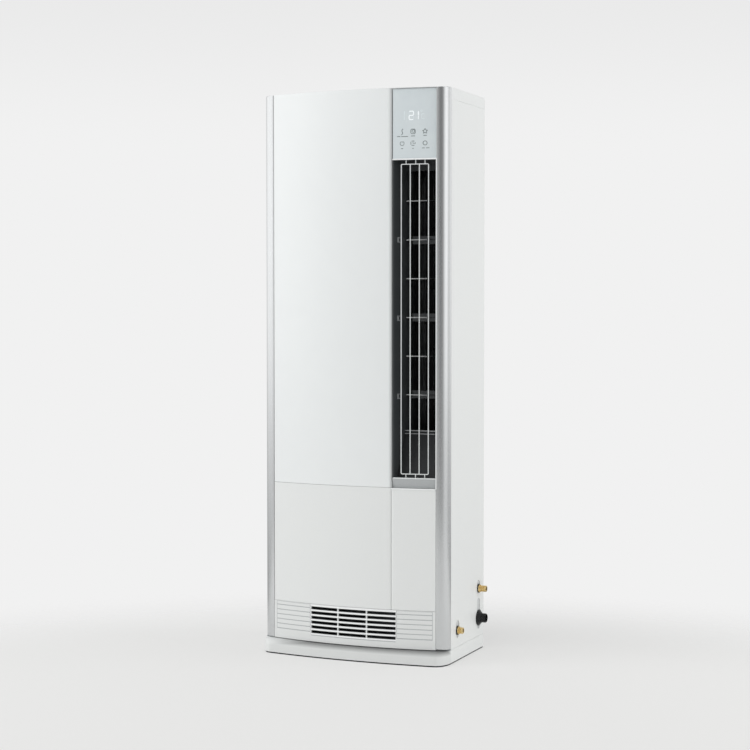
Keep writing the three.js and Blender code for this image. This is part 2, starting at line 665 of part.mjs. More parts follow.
// Display housing and board behind the touch panel, turned to lie along the bowed front.
const SLOT_MIDDLE = (SLOT_X0 + SLOT_X1) / 2;
function addDisplay() {
  const width = 96;
  const depth = 14;
  const z0 = SLOT_Z1 + 23;
  const z1 = TOTAL_HEIGHT - 30;
  const wall = 2;
  const glassBack = COLUMN_INSET + SHELL;
  const chordGap = width ** 2 / (8 * FRONT_RADIUS) + TOUCH;
  const slope = Math.asin(SLOT_MIDDLE / (FRONT_RADIUS - glassBack));
  const display = new THREE.Group();
  display.position.set(SLOT_MIDDLE, frontY(SLOT_MIDDLE, glassBack) + chordGap, 0);
  display.rotation.z = slope;
  const tray = box(-width / 2, width / 2, 0, depth, z0, z1);
  const pocket = box(-width / 2 + wall, width / 2 - wall, -1, depth - wall, z0 + wall, z1 - wall);
  const posts = [-1, 1].flatMap((sx) => [z0 + 20, z1 - 20].map((z) => rodY(sx * 36, z, 4, depth - 6, depth - 1, 10)));
  const housing = new THREE.Mesh(join(cut(tray, pocket), ...posts), blackPlastic);
  housing.name = 'display_housing';
  const board = box(-width / 2 + wall + 2, width / 2 - wall - 2,
    depth - 6 - TOUCH - 1.6, depth - 6 - TOUCH, z0 + wall + 2, z1 - wall - 2);
  const boardMesh = new THREE.Mesh(board, boardGreen);
  boardMesh.name = 'display_board';
  display.add(housing, boardMesh);
  airConditioner.add(display);
}
addDisplay();

// Outlet duct: a black tube that narrows from the slot to the fan's throat.
const bladeZ = (i) => BLADE_TOP_Z - i * BLADE_PITCH;
const vaneX = (i) => (SLOT_X0 + THROAT_X1) / 2 + (i - (VANE_COUNT - 1) / 2) * VANE_PITCH;

const TAPER_START = frontY(SLOT_X1, COLUMN_INSET) + 4;
function ductPlan(grow, frontInset, back) {
  const x0 = SLOT_X0 - grow;
  const x1 = SLOT_X1 + grow;
  return [...frontLine(x0, x1, frontInset), [x1, TAPER_START], [THROAT_X1 + grow, THROAT_Y],
    [THROAT_X1 + grow, back], [x0, back]];
}

function makeDuct() {
  const outer = prism(ductPlan(DUCT_WALL, COLUMN_INSET, DUCT_BACK), DUCT_BOTTOM, DUCT_TOP);
  const inner = prism(ductPlan(0, COLUMN_INSET - 8, DUCT_BACK + 5), SLOT_Z0, SLOT_Z1);
  const pinHoles = range(BLADE_COUNT).map((i) => rodX(BLADE_Y, bladeZ(i), BLADE_PIN_R + TOUCH,
    SLOT_X0 - DUCT_WALL - 2, THROAT_X1 + DUCT_WALL + 2, 10));
  const pivots = range(VANE_COUNT).map((i) => rodZ(vaneX(i), VANE_Y, VANE_PIN_R + TOUCH,
    DUCT_BOTTOM - 2, DUCT_TOP + 2, 12));
  const footX = THROAT_X1 - 20.2;
  const foot = box(footX - 12, footX + 12, FRAME_Y + 2, FRAME_Y + 14, FRAME_BAR_TOP + TOUCH, DUCT_BOTTOM + 1);
  const header = box(SLOT_X0 - 1, THROAT_X1 + 1, BRACE_Y, BRACE_Y + BRACE_THICK, SLOT_Z1 - BRACE_HEIGHT, SLOT_Z1 + 1);
  return cut(join(cut(outer, inner), foot, header), ...pinHoles, ...pivots);
}
add('outlet_duct', makeDuct(), blackPlastic);

// Sloping floor inside the duct, under the lowest guide blade.
function makeRamp() {
  const throat = THROAT_Y + 2;
  const plate = sidePrism([
    [RAMP_FRONT_Y, SLOT_Z0 + TOUCH], [RAMP_FRONT_Y + 3, SLOT_Z0 + TOUCH],
    [throat + 1, RAMP_TOP_Z - RAMP_THICK], [throat + 16, RAMP_TOP_Z - RAMP_THICK],
    [throat + 16, RAMP_TOP_Z], [throat, RAMP_TOP_Z],
  ], SLOT_X0, SLOT_X1);
  const room = prism(ductPlan(-TOUCH, COLUMN_INSET, DUCT_BACK), SLOT_Z0, SLOT_Z1);
  return common(plate, room);
}
add('duct_ramp', makeRamp(), darkGrey);

// Cross braces behind the blades, at every second blade's height.
for (const i of range(BRACE_COUNT)) {
  const z = bladeZ(2 * i + 1);
  add(`duct_brace_${i + 1}`,
    box(SLOT_X0 + TOUCH, THROAT_X1 - TOUCH, 0, BRACE_THICK, -BRACE_HEIGHT / 2, BRACE_HEIGHT / 2),
    darkGrey, [0, BRACE_Y, z]);
}

// Outlet guard: four upright slats tied by two cross bars, pegged into the duct.
function makeGuard() {
  const z0 = SLOT_Z0 + GUARD_MARGIN_BOTTOM;
  const z1 = SLOT_Z1 - GUARD_MARGIN_TOP;
  const slatX = (i) => SLOT_MIDDLE + (i - (SLAT_COUNT - 1) / 2) * SLAT_PITCH;
  const slats = range(SLAT_COUNT).map((i) => {
    const x = slatX(i);
    const y = frontY(x, COLUMN_INSET + 1);
    return box(x - SLAT_WIDTH / 2, x + SLAT_WIDTH / 2, y, y + SLAT_DEPTH, z0 + 1, z1 - 1);
  });
  const reach = (SLAT_COUNT - 1) / 2 * SLAT_PITCH + SLAT_WIDTH / 2 - 0.5;
  const plan = stripPlan(SLOT_MIDDLE - reach, SLOT_MIDDLE + reach, COLUMN_INSET + 2, COLUMN_INSET + 6);
  const bars = [prism(plan, z0, z0 + GUARD_BAR), prism(plan, z1 - GUARD_BAR, z1)];
  const pegs = range(SLAT_COUNT - 1).flatMap((i) => {
    const x = slatX(i + 0.5);
    const y = frontY(x, COLUMN_INSET + 3);
    return [box(x - 2, x + 2, y, y + 2.5, SLOT_Z0 + TOUCH, z0 + 1),
      box(x - 2, x + 2, y, y + 2.5, z1 - 1, SLOT_Z1 - TOUCH)];
  });
  return join(...slats, ...bars, ...pegs);
}
add('outlet_guard', makeGuard(), guardLight);

// Guide blades: level blades on pins in the duct's walls, all tied to one upright link.
const LINK_NOTCH = 3;
function makeBlade() {
  const x0 = SLOT_X0 + 0.8;
  const x1 = THROAT_X1 - 0.8;
  const half = BLADE_CHORD / 2;
  const thin = BLADE_THICK / 2;
  const section = [[-half, -0.5], [-half + 4, -thin], [half - 4, -thin], [half, -0.5],
    [half, 0.5], [half - 4, thin], [-half + 4, thin], [-half, 0.5]];
  const plate = sidePrism(section, x0, x1);
  const notch = box(BLADE_LINK_X - LINK_NOTCH, BLADE_LINK_X + LINK_NOTCH, 5, half + 1, -5, 5);
  const linkPin = rodX(BLADE_CRANK, 0, 1.1, BLADE_LINK_X - LINK_NOTCH - 1, BLADE_LINK_X + LINK_NOTCH + 1, 8);
  const hinge = [
    rodX(0, 0, BLADE_PIN_R, SLOT_X0 - DUCT_WALL, x0 + 2, 10),
    rodX(0, 0, BLADE_PIN_R, x1 - 2, THROAT_X1 + DUCT_WALL, 10)];
  return join(cut(plate, notch), linkPin, ...hinge);
}
for (const i of range(BLADE_COUNT)) {
  add(`guide_blade_${i + 1}`, makeBlade(), bladeGrey, [0, BLADE_Y, bladeZ(i)]);
}

function makeBladeLink() {
  const strip = box(-1.5, 1.5, -4, 4, bladeZ(BLADE_COUNT - 1) - 7, bladeZ(0) + 7);
  const holes = range(BLADE_COUNT).map((i) => rodX(0, bladeZ(i), 1.1 + TOUCH, -3, 3, 8));
  return cut(strip, ...holes);
}
add('blade_link', makeBladeLink(), darkGrey, [BLADE_LINK_X, BLADE_Y + BLADE_CRANK, 0]);

// Swing vanes: upright vanes on pins in the duct's floor and roof, tied by a bar at the top.
const VANE_TOP = SLOT_Z1 - 15;
const VANE_LINK_Z = VANE_TOP + 2;
function makeVane(driven) {
  const half = VANE_CHORD / 2;
  const thin = VANE_THICK / 2;
  const plan = [[-0.5, -half], [0.5, -half], [thin, -half + 5], [thin, half - 5], [0.5, half],
    [-0.5, half], [-thin, half - 5], [-thin, -half + 5]];
  const plate = prism(plan, SLOT_Z0 + 4, VANE_TOP);
  const reach = driven ? DUCT_TOP + 12 : DUCT_TOP - 0.5;
  return join(plate,
    rodZ(0, 0, VANE_PIN_R, DUCT_BOTTOM, SLOT_Z0 + 8, 12),
    rodZ(0, 0, VANE_PIN_R, VANE_TOP - 6, reach, 12),
    rodZ(0, VANE_CRANK, 1.5, VANE_TOP - 4, VANE_LINK_Z + VANE_LINK_THICK + 1, 10));
}
const DRIVEN_VANE = 1;
for (const i of range(VANE_COUNT)) {
  add(`swing_vane_${i + 1}`, makeVane(i === DRIVEN_VANE), blackPlastic, [vaneX(i), VANE_Y, 0]);
}

function makeVaneLink() {
  const reach = (VANE_COUNT - 1) / 2 * VANE_PITCH + 5;
  const bar = box(-reach, reach, -4, 4, 0, VANE_LINK_THICK);
  const holes = range(VANE_COUNT).map((i) => rodZ((i - DRIVEN_VANE) * VANE_PITCH, 0, 1.5 + TOUCH, -1, VANE_LINK_THICK + 1, 10));
  return cut(bar, ...holes);
}
add('vane_link', makeVaneLink(), blackPlastic, [vaneX(DRIVEN_VANE), VANE_Y + VANE_CRANK, VANE_LINK_Z]);

function makeSwingMotor() {
  const can = rodZ(0, 0, 14, 0, 17, 24);
  const ears = box(-21, 21, -4, 4, 0, 1.5);
  const bore = rodZ(0, 0, VANE_PIN_R + TOUCH, -1, 13, 12);
  return cut(join(can, ears), bore);
}
add('swing_motor', makeSwingMotor(), galvanised, [vaneX(DRIVEN_VANE), VANE_Y, DUCT_TOP + TOUCH]);

// Fan scroll: curved rear wall between two end plates, on four legs that stand on the shelf.
const SCROLL_BOTTOM = DUCT_BOTTOM - TOUCH;
const SCROLL_TOP = DUCT_TOP + TOUCH;
function makeScroll() {
  const wallSteps = 12;
  const from = -35 * Math.PI / 180;
  const to = 110 * Math.PI / 180;
  const arc = (radius) => range(wallSteps + 1).map((i) => {
    const angle = from + (to - from) * i / wallSteps;
    return [FAN_X + radius * Math.cos(angle), FAN_Y + radius * Math.sin(angle)];
  });
  const inner = arc(SCROLL_R);
  const outer = arc(SCROLL_R + SCROLL_WALL);
  const start = DUCT_BACK + TOUCH;
  const wallStart = start + 0.4;
  const wallPlan = [[inner[0][0], wallStart], ...inner, ...outer.reverse(), [outer[wallSteps][0], wallStart]];
  const x0 = FAN_X - SCROLL_R - 6;
  const x1 = FAN_X + SCROLL_R + 5;
  const plate = (z) => box(x0, x1, start, FAN_Y + SCROLL_R + 1, z, z + SCROLL_WALL);
  const legs = [x0 + 7, x1 - 7].flatMap((x) => [start + 7, FAN_Y + FAN_R - 14].map((y) => box(x - 6, x + 6, y - 6, y + 6,
    SHELF_Z + SHEET + TOUCH, SCROLL_BOTTOM - 1)));
  const lower = SCROLL_BOTTOM - SCROLL_WALL;
  return cut(
    join(prism(wallPlan, lower + 1, SCROLL_TOP + SCROLL_WALL - 1), plate(lower), plate(SCROLL_TOP), ...legs),
    rodZ(FAN_X, FAN_Y, SHAFT_R + 4, lower - 1, SCROLL_BOTTOM + 1, 20),
    rodZ(FAN_X, FAN_Y, SHAFT_R + 6 + TOUCH, SCROLL_TOP - 1, SCROLL_TOP + SCROLL_WALL + 1, 20));
}
add('fan_scroll', makeScroll(), galvanised);

// Cross-flow rotor: narrow blades through evenly spaced rings, hollow between its end discs.
const ROTOR_Z0 = SLOT_Z0 + 3;
const ROTOR_Z1 = SLOT_Z1 - 3;
function makeRotor() {
  const length = ROTOR_Z1 - ROTOR_Z0;
  const blades = range(FAN_BLADES).map((i) => {
    const blade = new THREE.BoxGeometry(FAN_BLADE_WIDTH, 1.4, length - FAN_DISC);
    return blade.rotateZ(-0.6).translate(FAN_R - FAN_BLADE_WIDTH / 2 - 0.5, 0, length / 2)
      .rotateZ(2 * Math.PI * i / FAN_BLADES);
  });
  const step = (length - FAN_DISC) / (FAN_RINGS - 1);
  const rings = range(FAN_RINGS).map((i) => {
    const inner = FAN_R - FAN_BLADE_WIDTH - 2;
    const z = i * step;
    if (i === 0 || i === FAN_RINGS - 1) return turnedZ([[0, z], [FAN_R, z], [FAN_R, z + FAN_DISC], [0, z + FAN_DISC]], 24);
    return turnedZ([[inner, z], [FAN_R, z], [FAN_R, z + FAN_DISC], [inner, z + FAN_DISC], [inner, z]], 24);
  });
  const hub = rodZ(0, 0, SHAFT_R + 5, 0, 24, 16);
  const stub = rodZ(0, 0, SHAFT_R, length - 1, SCROLL_TOP + 12 - ROTOR_Z0, 16);
  const bore = rodZ(0, 0, SHAFT_R + TOUCH, -1, 20, 16);
  return cut(join(...rings, ...blades, hub, stub), bore);
}
add('fan_rotor', makeRotor(), blackPlastic, [FAN_X, FAN_Y, ROTOR_Z0]);

add('fan_top_bearing', turnedZ([
  [SHAFT_R + TOUCH, 0], [SHAFT_R + 6, 0], [SHAFT_R + 6, SCROLL_WALL + TOUCH], [SHAFT_R + 14, SCROLL_WALL + TOUCH],
  [SHAFT_R + 14, SCROLL_WALL + 5], [SHAFT_R + TOUCH, SCROLL_WALL + 5], [SHAFT_R + TOUCH, 0],
], 20), galvanised, [FAN_X, FAN_Y, SCROLL_TOP]);

function makeFanMotor() {
  const can = turnedZ([[0, 0], [MOTOR_R - 4, 0], [MOTOR_R, 4], [MOTOR_R, MOTOR_HEIGHT - 6],
    [MOTOR_R - 8, MOTOR_HEIGHT], [0, MOTOR_HEIGHT]], 28);
  const shaft = rodZ(0, 0, SHAFT_R, MOTOR_HEIGHT - 1, ROTOR_Z0 + 16 - SHELF_Z - SHEET - TOUCH, 16);
  return join(can, shaft);
}
add('fan_motor', makeFanMotor(), galvanised, [FAN_X, FAN_Y, SHELF_Z + SHEET + TOUCH]);

// Shelf across the cabinet; its rear flange carries the drain pan's front edge.
const SHELF_HALF = BODY_HALF - SHEET - TOUCH;
function makeShelf() {
  const front = FRAME_Y + SHEET + TOUCH;
  const section = [[front, SHELF_Z], [SHELF_BACK, SHELF_Z], [SHELF_BACK, PAN_Z - TOUCH],
    [SHELF_BACK - SHEET, PAN_Z - TOUCH], [SHELF_BACK - SHEET, SHELF_Z + SHEET], [front, SHELF_Z + SHEET]];
  const pipeCorner = box(HOSE_X + HOSE_R, SHELF_HALF + 1, SHELF_BACK - 38, SHELF_BACK + 1, SHELF_Z - 1, PAN_Z + 1);
  return cut(sidePrism(section, -SHELF_HALF, SHELF_HALF), pipeCorner);
}
add('partition_shelf', makeShelf(), galvanised);

// Frame behind the front panels: two uprights and four cross bars of folded steel.
function makeFrame() {
  const top = TOTAL_HEIGHT - 4;
  const plate = box(-SHELF_HALF, SHELF_HALF, FRAME_Y, FRAME_Y + SHEET, PAN_PLATE_TOP, top);
  const x0 = -SEAM_HALF + 20;
  const x1 = SLOT_X1 + DUCT_WALL + 3.6;
  const openings = [[PAN_PLATE_TOP + 12, INTAKE_TOP_Z - 5], [INTAKE_TOP_Z + 25, SHELF_Z + 2],
    [FRAME_BAR_TOP + 1, top - 106], [top - 46, top + 1]];
  const windows = openings.map(([z0, z1]) => box(x0, x1, FRAME_Y - 1, FRAME_Y + SHEET + 1, z0, z1));
  const ledge = box(-SHELF_HALF + 1, SHELF_HALF - 1, FRAME_Y + SHEET / 2, FRAME_Y + 15,
    FRAME_BAR_TOP - SHEET, FRAME_BAR_TOP);
  return join(cut(plate, ...windows), ledge);
}
add('front_frame', makeFrame(), galvanised);

// Heat exchanger: a finned block with one copper tube that runs to and fro through it.
const TUBE_Y = COIL_Y0 + COIL_DEPTH / 2;
const TUBE_STEP = (COIL_Z1 - COIL_Z0 - 50) / (TUBE_ROWS - 1);
const rowZ = (i) => COIL_Z0 + 25 + i * TUBE_STEP;
const TUBE_END = COIL_X1 + 30;

function serpentine(radius, sides) {
  const bendR = TUBE_STEP / 2;
  const centres = [new THREE.Vector3(TUBE_END, TUBE_Y, rowZ(0))];
  for (const i of range(TUBE_ROWS - 1)) {
    const side = i % 2 === 0 ? -1 : 1;
    const turnX = side < 0 ? COIL_X0 - 6 : COIL_X1 + 6;
    for (const k of range(5)) {
      const angle = -Math.PI / 2 + Math.PI * k / 4;
      centres.push(new THREE.Vector3(turnX + side * bendR * Math.cos(angle), TUBE_Y,
        rowZ(i) + bendR + bendR * Math.sin(angle)));
    }
  }
  centres.push(new THREE.Vector3(TUBE_END, TUBE_Y, rowZ(TUBE_ROWS - 1)));
  return sweep(centres, radius, sides);
}

function makeFins() {
  const block = box(COIL_X0, COIL_X1, COIL_Y0, COIL_Y0 + COIL_DEPTH, COIL_Z0, COIL_Z1);
  const bores = range(TUBE_ROWS).map((i) => rodX(TUBE_Y, rowZ(i), TUBE_R + 1.2, COIL_X0 - 1, COIL_X1 + 1, 6));
  return cut(block, ...bores);
}
add('evaporator_fins', makeFins(), aluminium);
add('evaporator_tube', serpentine(TUBE_R, 6), copper);

// Drain pan under the coil, with two saddles and an outlet stub.
function makeDrainPan() {
  const x0 = COIL_X0 - 40;
  const x1 = HOSE_X + 22;
  const y0 = SHELF_BACK - 6;
  const y1 = BODY_BACK - 2 * SHEET - 3 * TOUCH;
  const tray = box(x0, x1, y0, y1, PAN_Z, PAN_Z + PAN_HEIGHT);
  const hollow = box(x0 + 2, x1 - 2, y0 + 2, y1 - 2, PAN_Z + 2, PAN_Z + PAN_HEIGHT + 1);
  const saddle = (x) => box(x - 4, x + 4, y0 + 1, y1 - 1, PAN_Z + 1, COIL_Z0 - TOUCH);
  const stub = rodZ(HOSE_X, HOSE_Y, HOSE_R, PAN_Z - 12, PAN_Z + 1, 16);
  const bore = rodZ(HOSE_X, HOSE_Y, HOSE_R - 3, PAN_Z - 13, PAN_Z + 3, 16);
  return cut(join(cut(tray, hollow), saddle(COIL_X0 + 75), saddle(COIL_X1 - 75), stub), bore);
}
add('drain_pan', makeDrainPan(), rubberBlack);

// Pipes from the coil and the drain pan to the fittings on the right side.
const FITTING_IN = BODY_HALF - 22;
add('drain_hose', pipe([
  [HOSE_X, HOSE_Y, PAN_Z - 12 - TOUCH], [HOSE_X, HOSE_Y, DRAIN_Z + 194], [HOSE_X, PIPE_Y, DRAIN_Z + 94],
  [HOSE_X, PIPE_Y, DRAIN_Z], [FITTING_IN - TOUCH, PIPE_Y, DRAIN_Z],
], HOSE_R, 22, 12), rubberBlack);
add('gas_pipe', pipe([
  [TUBE_END + TOUCH, TUBE_Y, rowZ(TUBE_ROWS - 1)], [BODY_HALF - 29, TUBE_Y, rowZ(TUBE_ROWS - 1)],
  [BODY_HALF - 29, TUBE_Y, UPPER_UNION_Z + 38], [BODY_HALF - 42, PIPE_Y, UPPER_UNION_Z],
  [FITTING_IN - TOUCH, PIPE_Y, UPPER_UNION_Z],
], GAS_R, 12, 10), copper);
add('liquid_pipe', pipe([
  [TUBE_END + TOUCH, TUBE_Y, rowZ(0)], [BODY_HALF - 45, TUBE_Y, rowZ(0)],
  [BODY_HALF - 45, SHELF_BACK - 20, rowZ(0)], [BODY_HALF - 25, SHELF_BACK - 20, SHELF_Z - 20],
  [BODY_HALF - 25, LOWER_UNION_Y + 92, LOWER_UNION_Z + 122], [BODY_HALF - 40, LOWER_UNION_Y, LOWER_UNION_Z + 42],
  [BODY_HALF - 40, LOWER_UNION_Y, LOWER_UNION_Z],
  [FITTING_IN - TOUCH, LOWER_UNION_Y, LOWER_UNION_Z],
], LIQUID_R, 8, 8), copper);

// Service plate inside the right side panel, which holds the three fittings.
const PLATE_OUT = BODY_HALF - SHEET - TOUCH;
const PLATE_IN = PLATE_OUT - PLATE_THICK;
add('service_plate', cut(
  box(PLATE_IN, PLATE_OUT, LOWER_UNION_Y - 28, PIPE_Y + 30, DRAIN_Z - 42, UPPER_UNION_Z + 42),
  rodX(PIPE_Y, UPPER_UNION_Z, UNION_R + 2 * TOUCH, PLATE_IN - 1, PLATE_OUT + 1, 20),
  rodX(LOWER_UNION_Y, LOWER_UNION_Z, UNION_R + 2 * TOUCH, PLATE_IN - 1, PLATE_OUT + 1, 20),
  rodX(PIPE_Y, DRAIN_Z, SLOT_HALF_WIDTH - 1 + 2 * TOUCH, PLATE_IN - 1, PLATE_OUT + 1, 20)), greyPlastic);

// Brass unions with male threads; each is pulled against the panel by its lock nut.
function makeUnion(reach) {
  const shoulderIn = FITTING_IN;
  const shoulderOut = PLATE_IN - TOUCH;
  const end = BODY_HALF + reach;
  const threadStart = BODY_HALF + NUT_THICK + 1.5;
  const threadPitch = 3;
  const crests = Math.floor((end - threadStart - 1) / threadPitch);
  const thread = range(crests).flatMap((i) => {
    const x = threadStart + i * threadPitch;
    return [[UNION_R, x], [UNION_R, x + 1], [UNION_R - 1, x + 1.6], [UNION_R - 1, x + 2.4]];
  });
  const bore = UNION_R - 4;
  return turnedX([
    [bore, shoulderIn], [UNION_R + 4, shoulderIn], [UNION_R + 4, shoulderOut], [UNION_R, shoulderOut],
    ...thread, [UNION_R - 0.6, end], [bore, end], [bore, shoulderIn],
  ], UNION_SIDES);
}
function addUnion(name, reach, y, z) {
  add(name, makeUnion(reach), brass, [0, y, z]);
  const x0 = BODY_HALF + TOUCH;
  const inner = UNION_R + TOUCH;
  add(`${name}_nut`, turnedX([[inner, x0], [NUT_R, x0], [NUT_R, x0 + NUT_THICK], [inner, x0 + NUT_THICK], [inner, x0]], UNION_SIDES),
    rubberBlack, [0, y, z]);
}
addUnion('upper_union', UPPER_REACH, PIPE_Y, UPPER_UNION_Z);
addUnion('lower_union', LOWER_REACH, LOWER_UNION_Y, LOWER_UNION_Z);

// Drain spigot: flange against the side panel, then a cone down to the hose spout.
const SPIGOT_NECK_R = SLOT_HALF_WIDTH - 1;
const face = BODY_HALF + TOUCH;
add('drain_spigot', turnedX([
  [SPIGOT_NECK_R - 3, FITTING_IN], [SPIGOT_NECK_R, FITTING_IN], [SPIGOT_NECK_R, face], [FLANGE_R, face],
  [FLANGE_R, face + 3], [FLANGE_R - 3, face + 4], [SPOUT_R, face + 12], [SPOUT_R, BODY_HALF + DRAIN_REACH - 2],
  [SPOUT_R - 2, BODY_HALF + DRAIN_REACH], [SPOUT_R - 4, BODY_HALF + DRAIN_REACH],
  [SPIGOT_NECK_R - 3, FITTING_IN],
], 24), rubberBlack, [0, PIPE_Y, DRAIN_Z]);

// Rear intake: louvred frame through the rear panel, with rails outside for the filter.
const REAR_FACE = BODY_BACK - SHEET; // clear of the rear panel's skin by the touching gap
const RAIL_OUT = REAR_FACE + 2 + FILTER_THICK + 4 * TOUCH;
const FILTER_Z0 = INTAKE_Z0 - 9;
const FILTER_Z1 = INTAKE_Z1 + 9;
function makeRearGrille() {
  const half = INTAKE_HALF - TOUCH;
  const flangeHalf = INTAKE_HALF + 14;
  const low = FILTER_Z0 - TOUCH;
  const high = FILTER_Z1 + TOUCH;
  const lip = 8;
  const wall = 2;
  const channel = sidePrism([
    [REAR_FACE, low - 3], [RAIL_OUT + wall, low - 3], [RAIL_OUT + wall, low + lip], [RAIL_OUT, low + lip],
    [RAIL_OUT, low], [REAR_FACE + wall, low], [REAR_FACE + wall, high], [RAIL_OUT, high],
    [RAIL_OUT, high - lip], [RAIL_OUT + wall, high - lip], [RAIL_OUT + wall, high + 3], [REAR_FACE, high + 3],
  ], -flangeHalf, flangeHalf);
  const y0 = COIL_Y0 + COIL_DEPTH + TOUCH;
  const sleeve = box(-half, half, y0, REAR_FACE + 1, INTAKE_Z0 + TOUCH, INTAKE_Z1 - TOUCH);
  const hollow = box(-half + 3, half - 3, y0 - 2, REAR_FACE + 5, INTAKE_Z0 + 3, INTAKE_Z1 - 3);
  const count = Math.floor((INTAKE_Z1 - INTAKE_Z0 - 20) / LOUVRE_PITCH);
  const louvres = range(count).map((i) => {
    const z = INTAKE_Z0 + LOUVRE_PITCH * (i + 0.8);
    const y1 = REAR_FACE + 0.5;
    return sidePrism([[y0 + 1.5, z], [y1, z - 7], [y1, z - 4.5], [y0 + 1.5, z + 2.5]], -half + 2, half - 2);
  });
  const posts = [-1, 1].map((i) => box(i * 70 - 2, i * 70 + 2, y0 + 1, REAR_FACE + 1,
    INTAKE_Z0 + 2, INTAKE_Z1 - 2));
  const stop = box(flangeHalf - 4, flangeHalf - 1, REAR_FACE + 1, RAIL_OUT + 1, low - 1, high + 1);
  return join(cut(join(channel, sleeve), hollow), ...louvres, ...posts, stop);
}
add('rear_intake_grille', makeRearGrille(), satinWhite);

// Air filter: a frame of cells over a thin net, drawn out sideways along the rails.
function makeFilter() {
  const half = INTAKE_HALF + 10 - 2 * TOUCH;
  const height = FILTER_Z1 - FILTER_Z0;
  const columns = 4;
  const rows = 8;
  const bar = 7;
  const cellW = (2 * half - bar) / columns;
  const cellH = (height - bar) / rows;
  const frame = box(-half, half, 0, FILTER_THICK, 0, height);
  const cells = range(columns).flatMap((i) => range(rows).flatMap((j) => {
    const x = -half + bar + i * cellW;
    const z = bar + j * cellH;
    return [box(x, x + cellW - bar, -1, FILTER_THICK / 2 - 0.5, z, z + cellH - bar),
      box(x, x + cellW - bar, FILTER_THICK / 2 + 0.5, FILTER_THICK + 1, z, z + cellH - bar)];
  }));
  const grip = box(-half - 8, -half + 1, 1, FILTER_THICK - 1, height / 2 - 40, height / 2 + 40);
  return join(cut(frame, ...cells), grip);
}
add('air_filter', makeFilter(), filterGrey, [0, REAR_FACE + 2 + 2 * TOUCH, FILTER_Z0]);

// Electrical box on the left side panel, with its cover, board, terminals and capacitor.
add('electrical_box', cut(
  box(BOX_X0, BOX_X1, BOX_Y0, BOX_Y1, BOX_Z0, BOX_Z1),
  box(BOX_X0 + SHEET, BOX_X1 - SHEET, BOX_Y0 - 1, BOX_Y1 - SHEET, BOX_Z0 + SHEET, BOX_Z1 - SHEET),
  rodZ(BOX_X1 - 20, 0, 8, BOX_Z0 - 2, BOX_Z0 + 4, 12)), galvanised);
add('electrical_cover', box(BOX_X0, BOX_X1, BOX_Y0 - TOUCH - SHEET, BOX_Y0 - TOUCH, BOX_Z0 - 2, BOX_Z1 + 2), galvanised);
const BOX_BACK = BOX_Y1 - SHEET;
const boxX = (share) => BOX_X0 + share * BOX_WIDTH;
const boxZ = (share) => BOX_Z0 + share * BOX_HEIGHT;
function makeControlBoard() {
  const z0 = boxZ(0.27);
  const z1 = boxZ(0.94);
  const board = box(boxX(0.09), boxX(0.82), BOX_BACK - 12, BOX_BACK - 10, z0, z1);
  const posts = [boxX(0.12), boxX(0.79)].flatMap((x) => [z0 + 8, z1 - 8].map((z) => rodY(x, z, 3, BOX_BACK - 11, BOX_BACK - TOUCH, 8)));
  const parts = [
    box(boxX(0.18), boxX(0.35), BOX_BACK - 40, BOX_BACK - 11, boxZ(0.36), boxZ(0.54)),
    box(boxX(0.44), boxX(0.57), BOX_BACK - 30, BOX_BACK - 11, boxZ(0.36), boxZ(0.5)),
    box(boxX(0.18), boxX(0.53), BOX_BACK - 20, BOX_BACK - 11, boxZ(0.68), boxZ(0.75))];
  return join(board, ...posts, ...parts);
}
add('control_board', makeControlBoard(), boardGreen);
function makeTerminals() {
  const base = box(boxX(0.09), boxX(0.53), BOX_BACK - 18, BOX_BACK - TOUCH, boxZ(0.06), boxZ(0.2));
  const gaps = range(6).map((i) => {
    const x = boxX(0.106 + i * 0.07);
    return box(x, boxX(0.158 + i * 0.07), BOX_BACK - 20, BOX_BACK - 8, boxZ(0.08), boxZ(0.18));
  });
  return cut(base, ...gaps);
}
add('terminal_block', makeTerminals(), blackPlastic);
add('capacitor', join(
  rodZ(BOX_X1 - 22, BOX_BACK - 22, 17, BOX_Z0 + SHEET + TOUCH, BOX_Z0 + 46, 20),
  box(BOX_X1 - 32, BOX_X1 - 12, BOX_BACK - 28, BOX_BACK - TOUCH, BOX_Z0 + 20, BOX_Z0 + 26)), aluminium);

// Cable gland in the rear panel, where the supply enters.
add('cable_gland', turnedZ([
  [6, -12], [11.6, -12], [11.6, 0], [16, 0], [16, 5], [10, 12], [6, 12], [6, -12],
], 16).rotateX(-Math.PI / 2), rubberBlack, [GLAND_X, BODY_BACK - SHEET, GLAND_Z]);

export default airConditioner;
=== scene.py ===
# %% [markdown]
# # A floor standing air conditioner
# The cabinet is 1.8 m tall: steel sheets at the sides, moulded plastic panels at the front, silver
# corner mouldings, and an upright outlet with a black duct behind it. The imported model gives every
# piece its place, so this lesson starts by loading it and noting the box it fills.

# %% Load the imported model
import math

import bmesh
import bpy
from mathutils import Matrix, Vector


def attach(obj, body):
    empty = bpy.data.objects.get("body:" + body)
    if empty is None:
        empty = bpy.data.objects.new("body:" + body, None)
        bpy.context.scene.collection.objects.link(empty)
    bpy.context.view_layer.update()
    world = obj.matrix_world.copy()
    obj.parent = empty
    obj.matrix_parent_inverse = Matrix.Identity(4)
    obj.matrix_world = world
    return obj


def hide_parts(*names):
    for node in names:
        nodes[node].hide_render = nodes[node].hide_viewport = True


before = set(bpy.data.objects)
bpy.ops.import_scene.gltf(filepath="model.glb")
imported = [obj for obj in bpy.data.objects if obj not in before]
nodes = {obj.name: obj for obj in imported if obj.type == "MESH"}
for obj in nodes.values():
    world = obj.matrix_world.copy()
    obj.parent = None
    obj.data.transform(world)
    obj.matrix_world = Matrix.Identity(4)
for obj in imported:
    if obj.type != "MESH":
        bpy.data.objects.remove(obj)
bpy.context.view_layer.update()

MM = 0.001

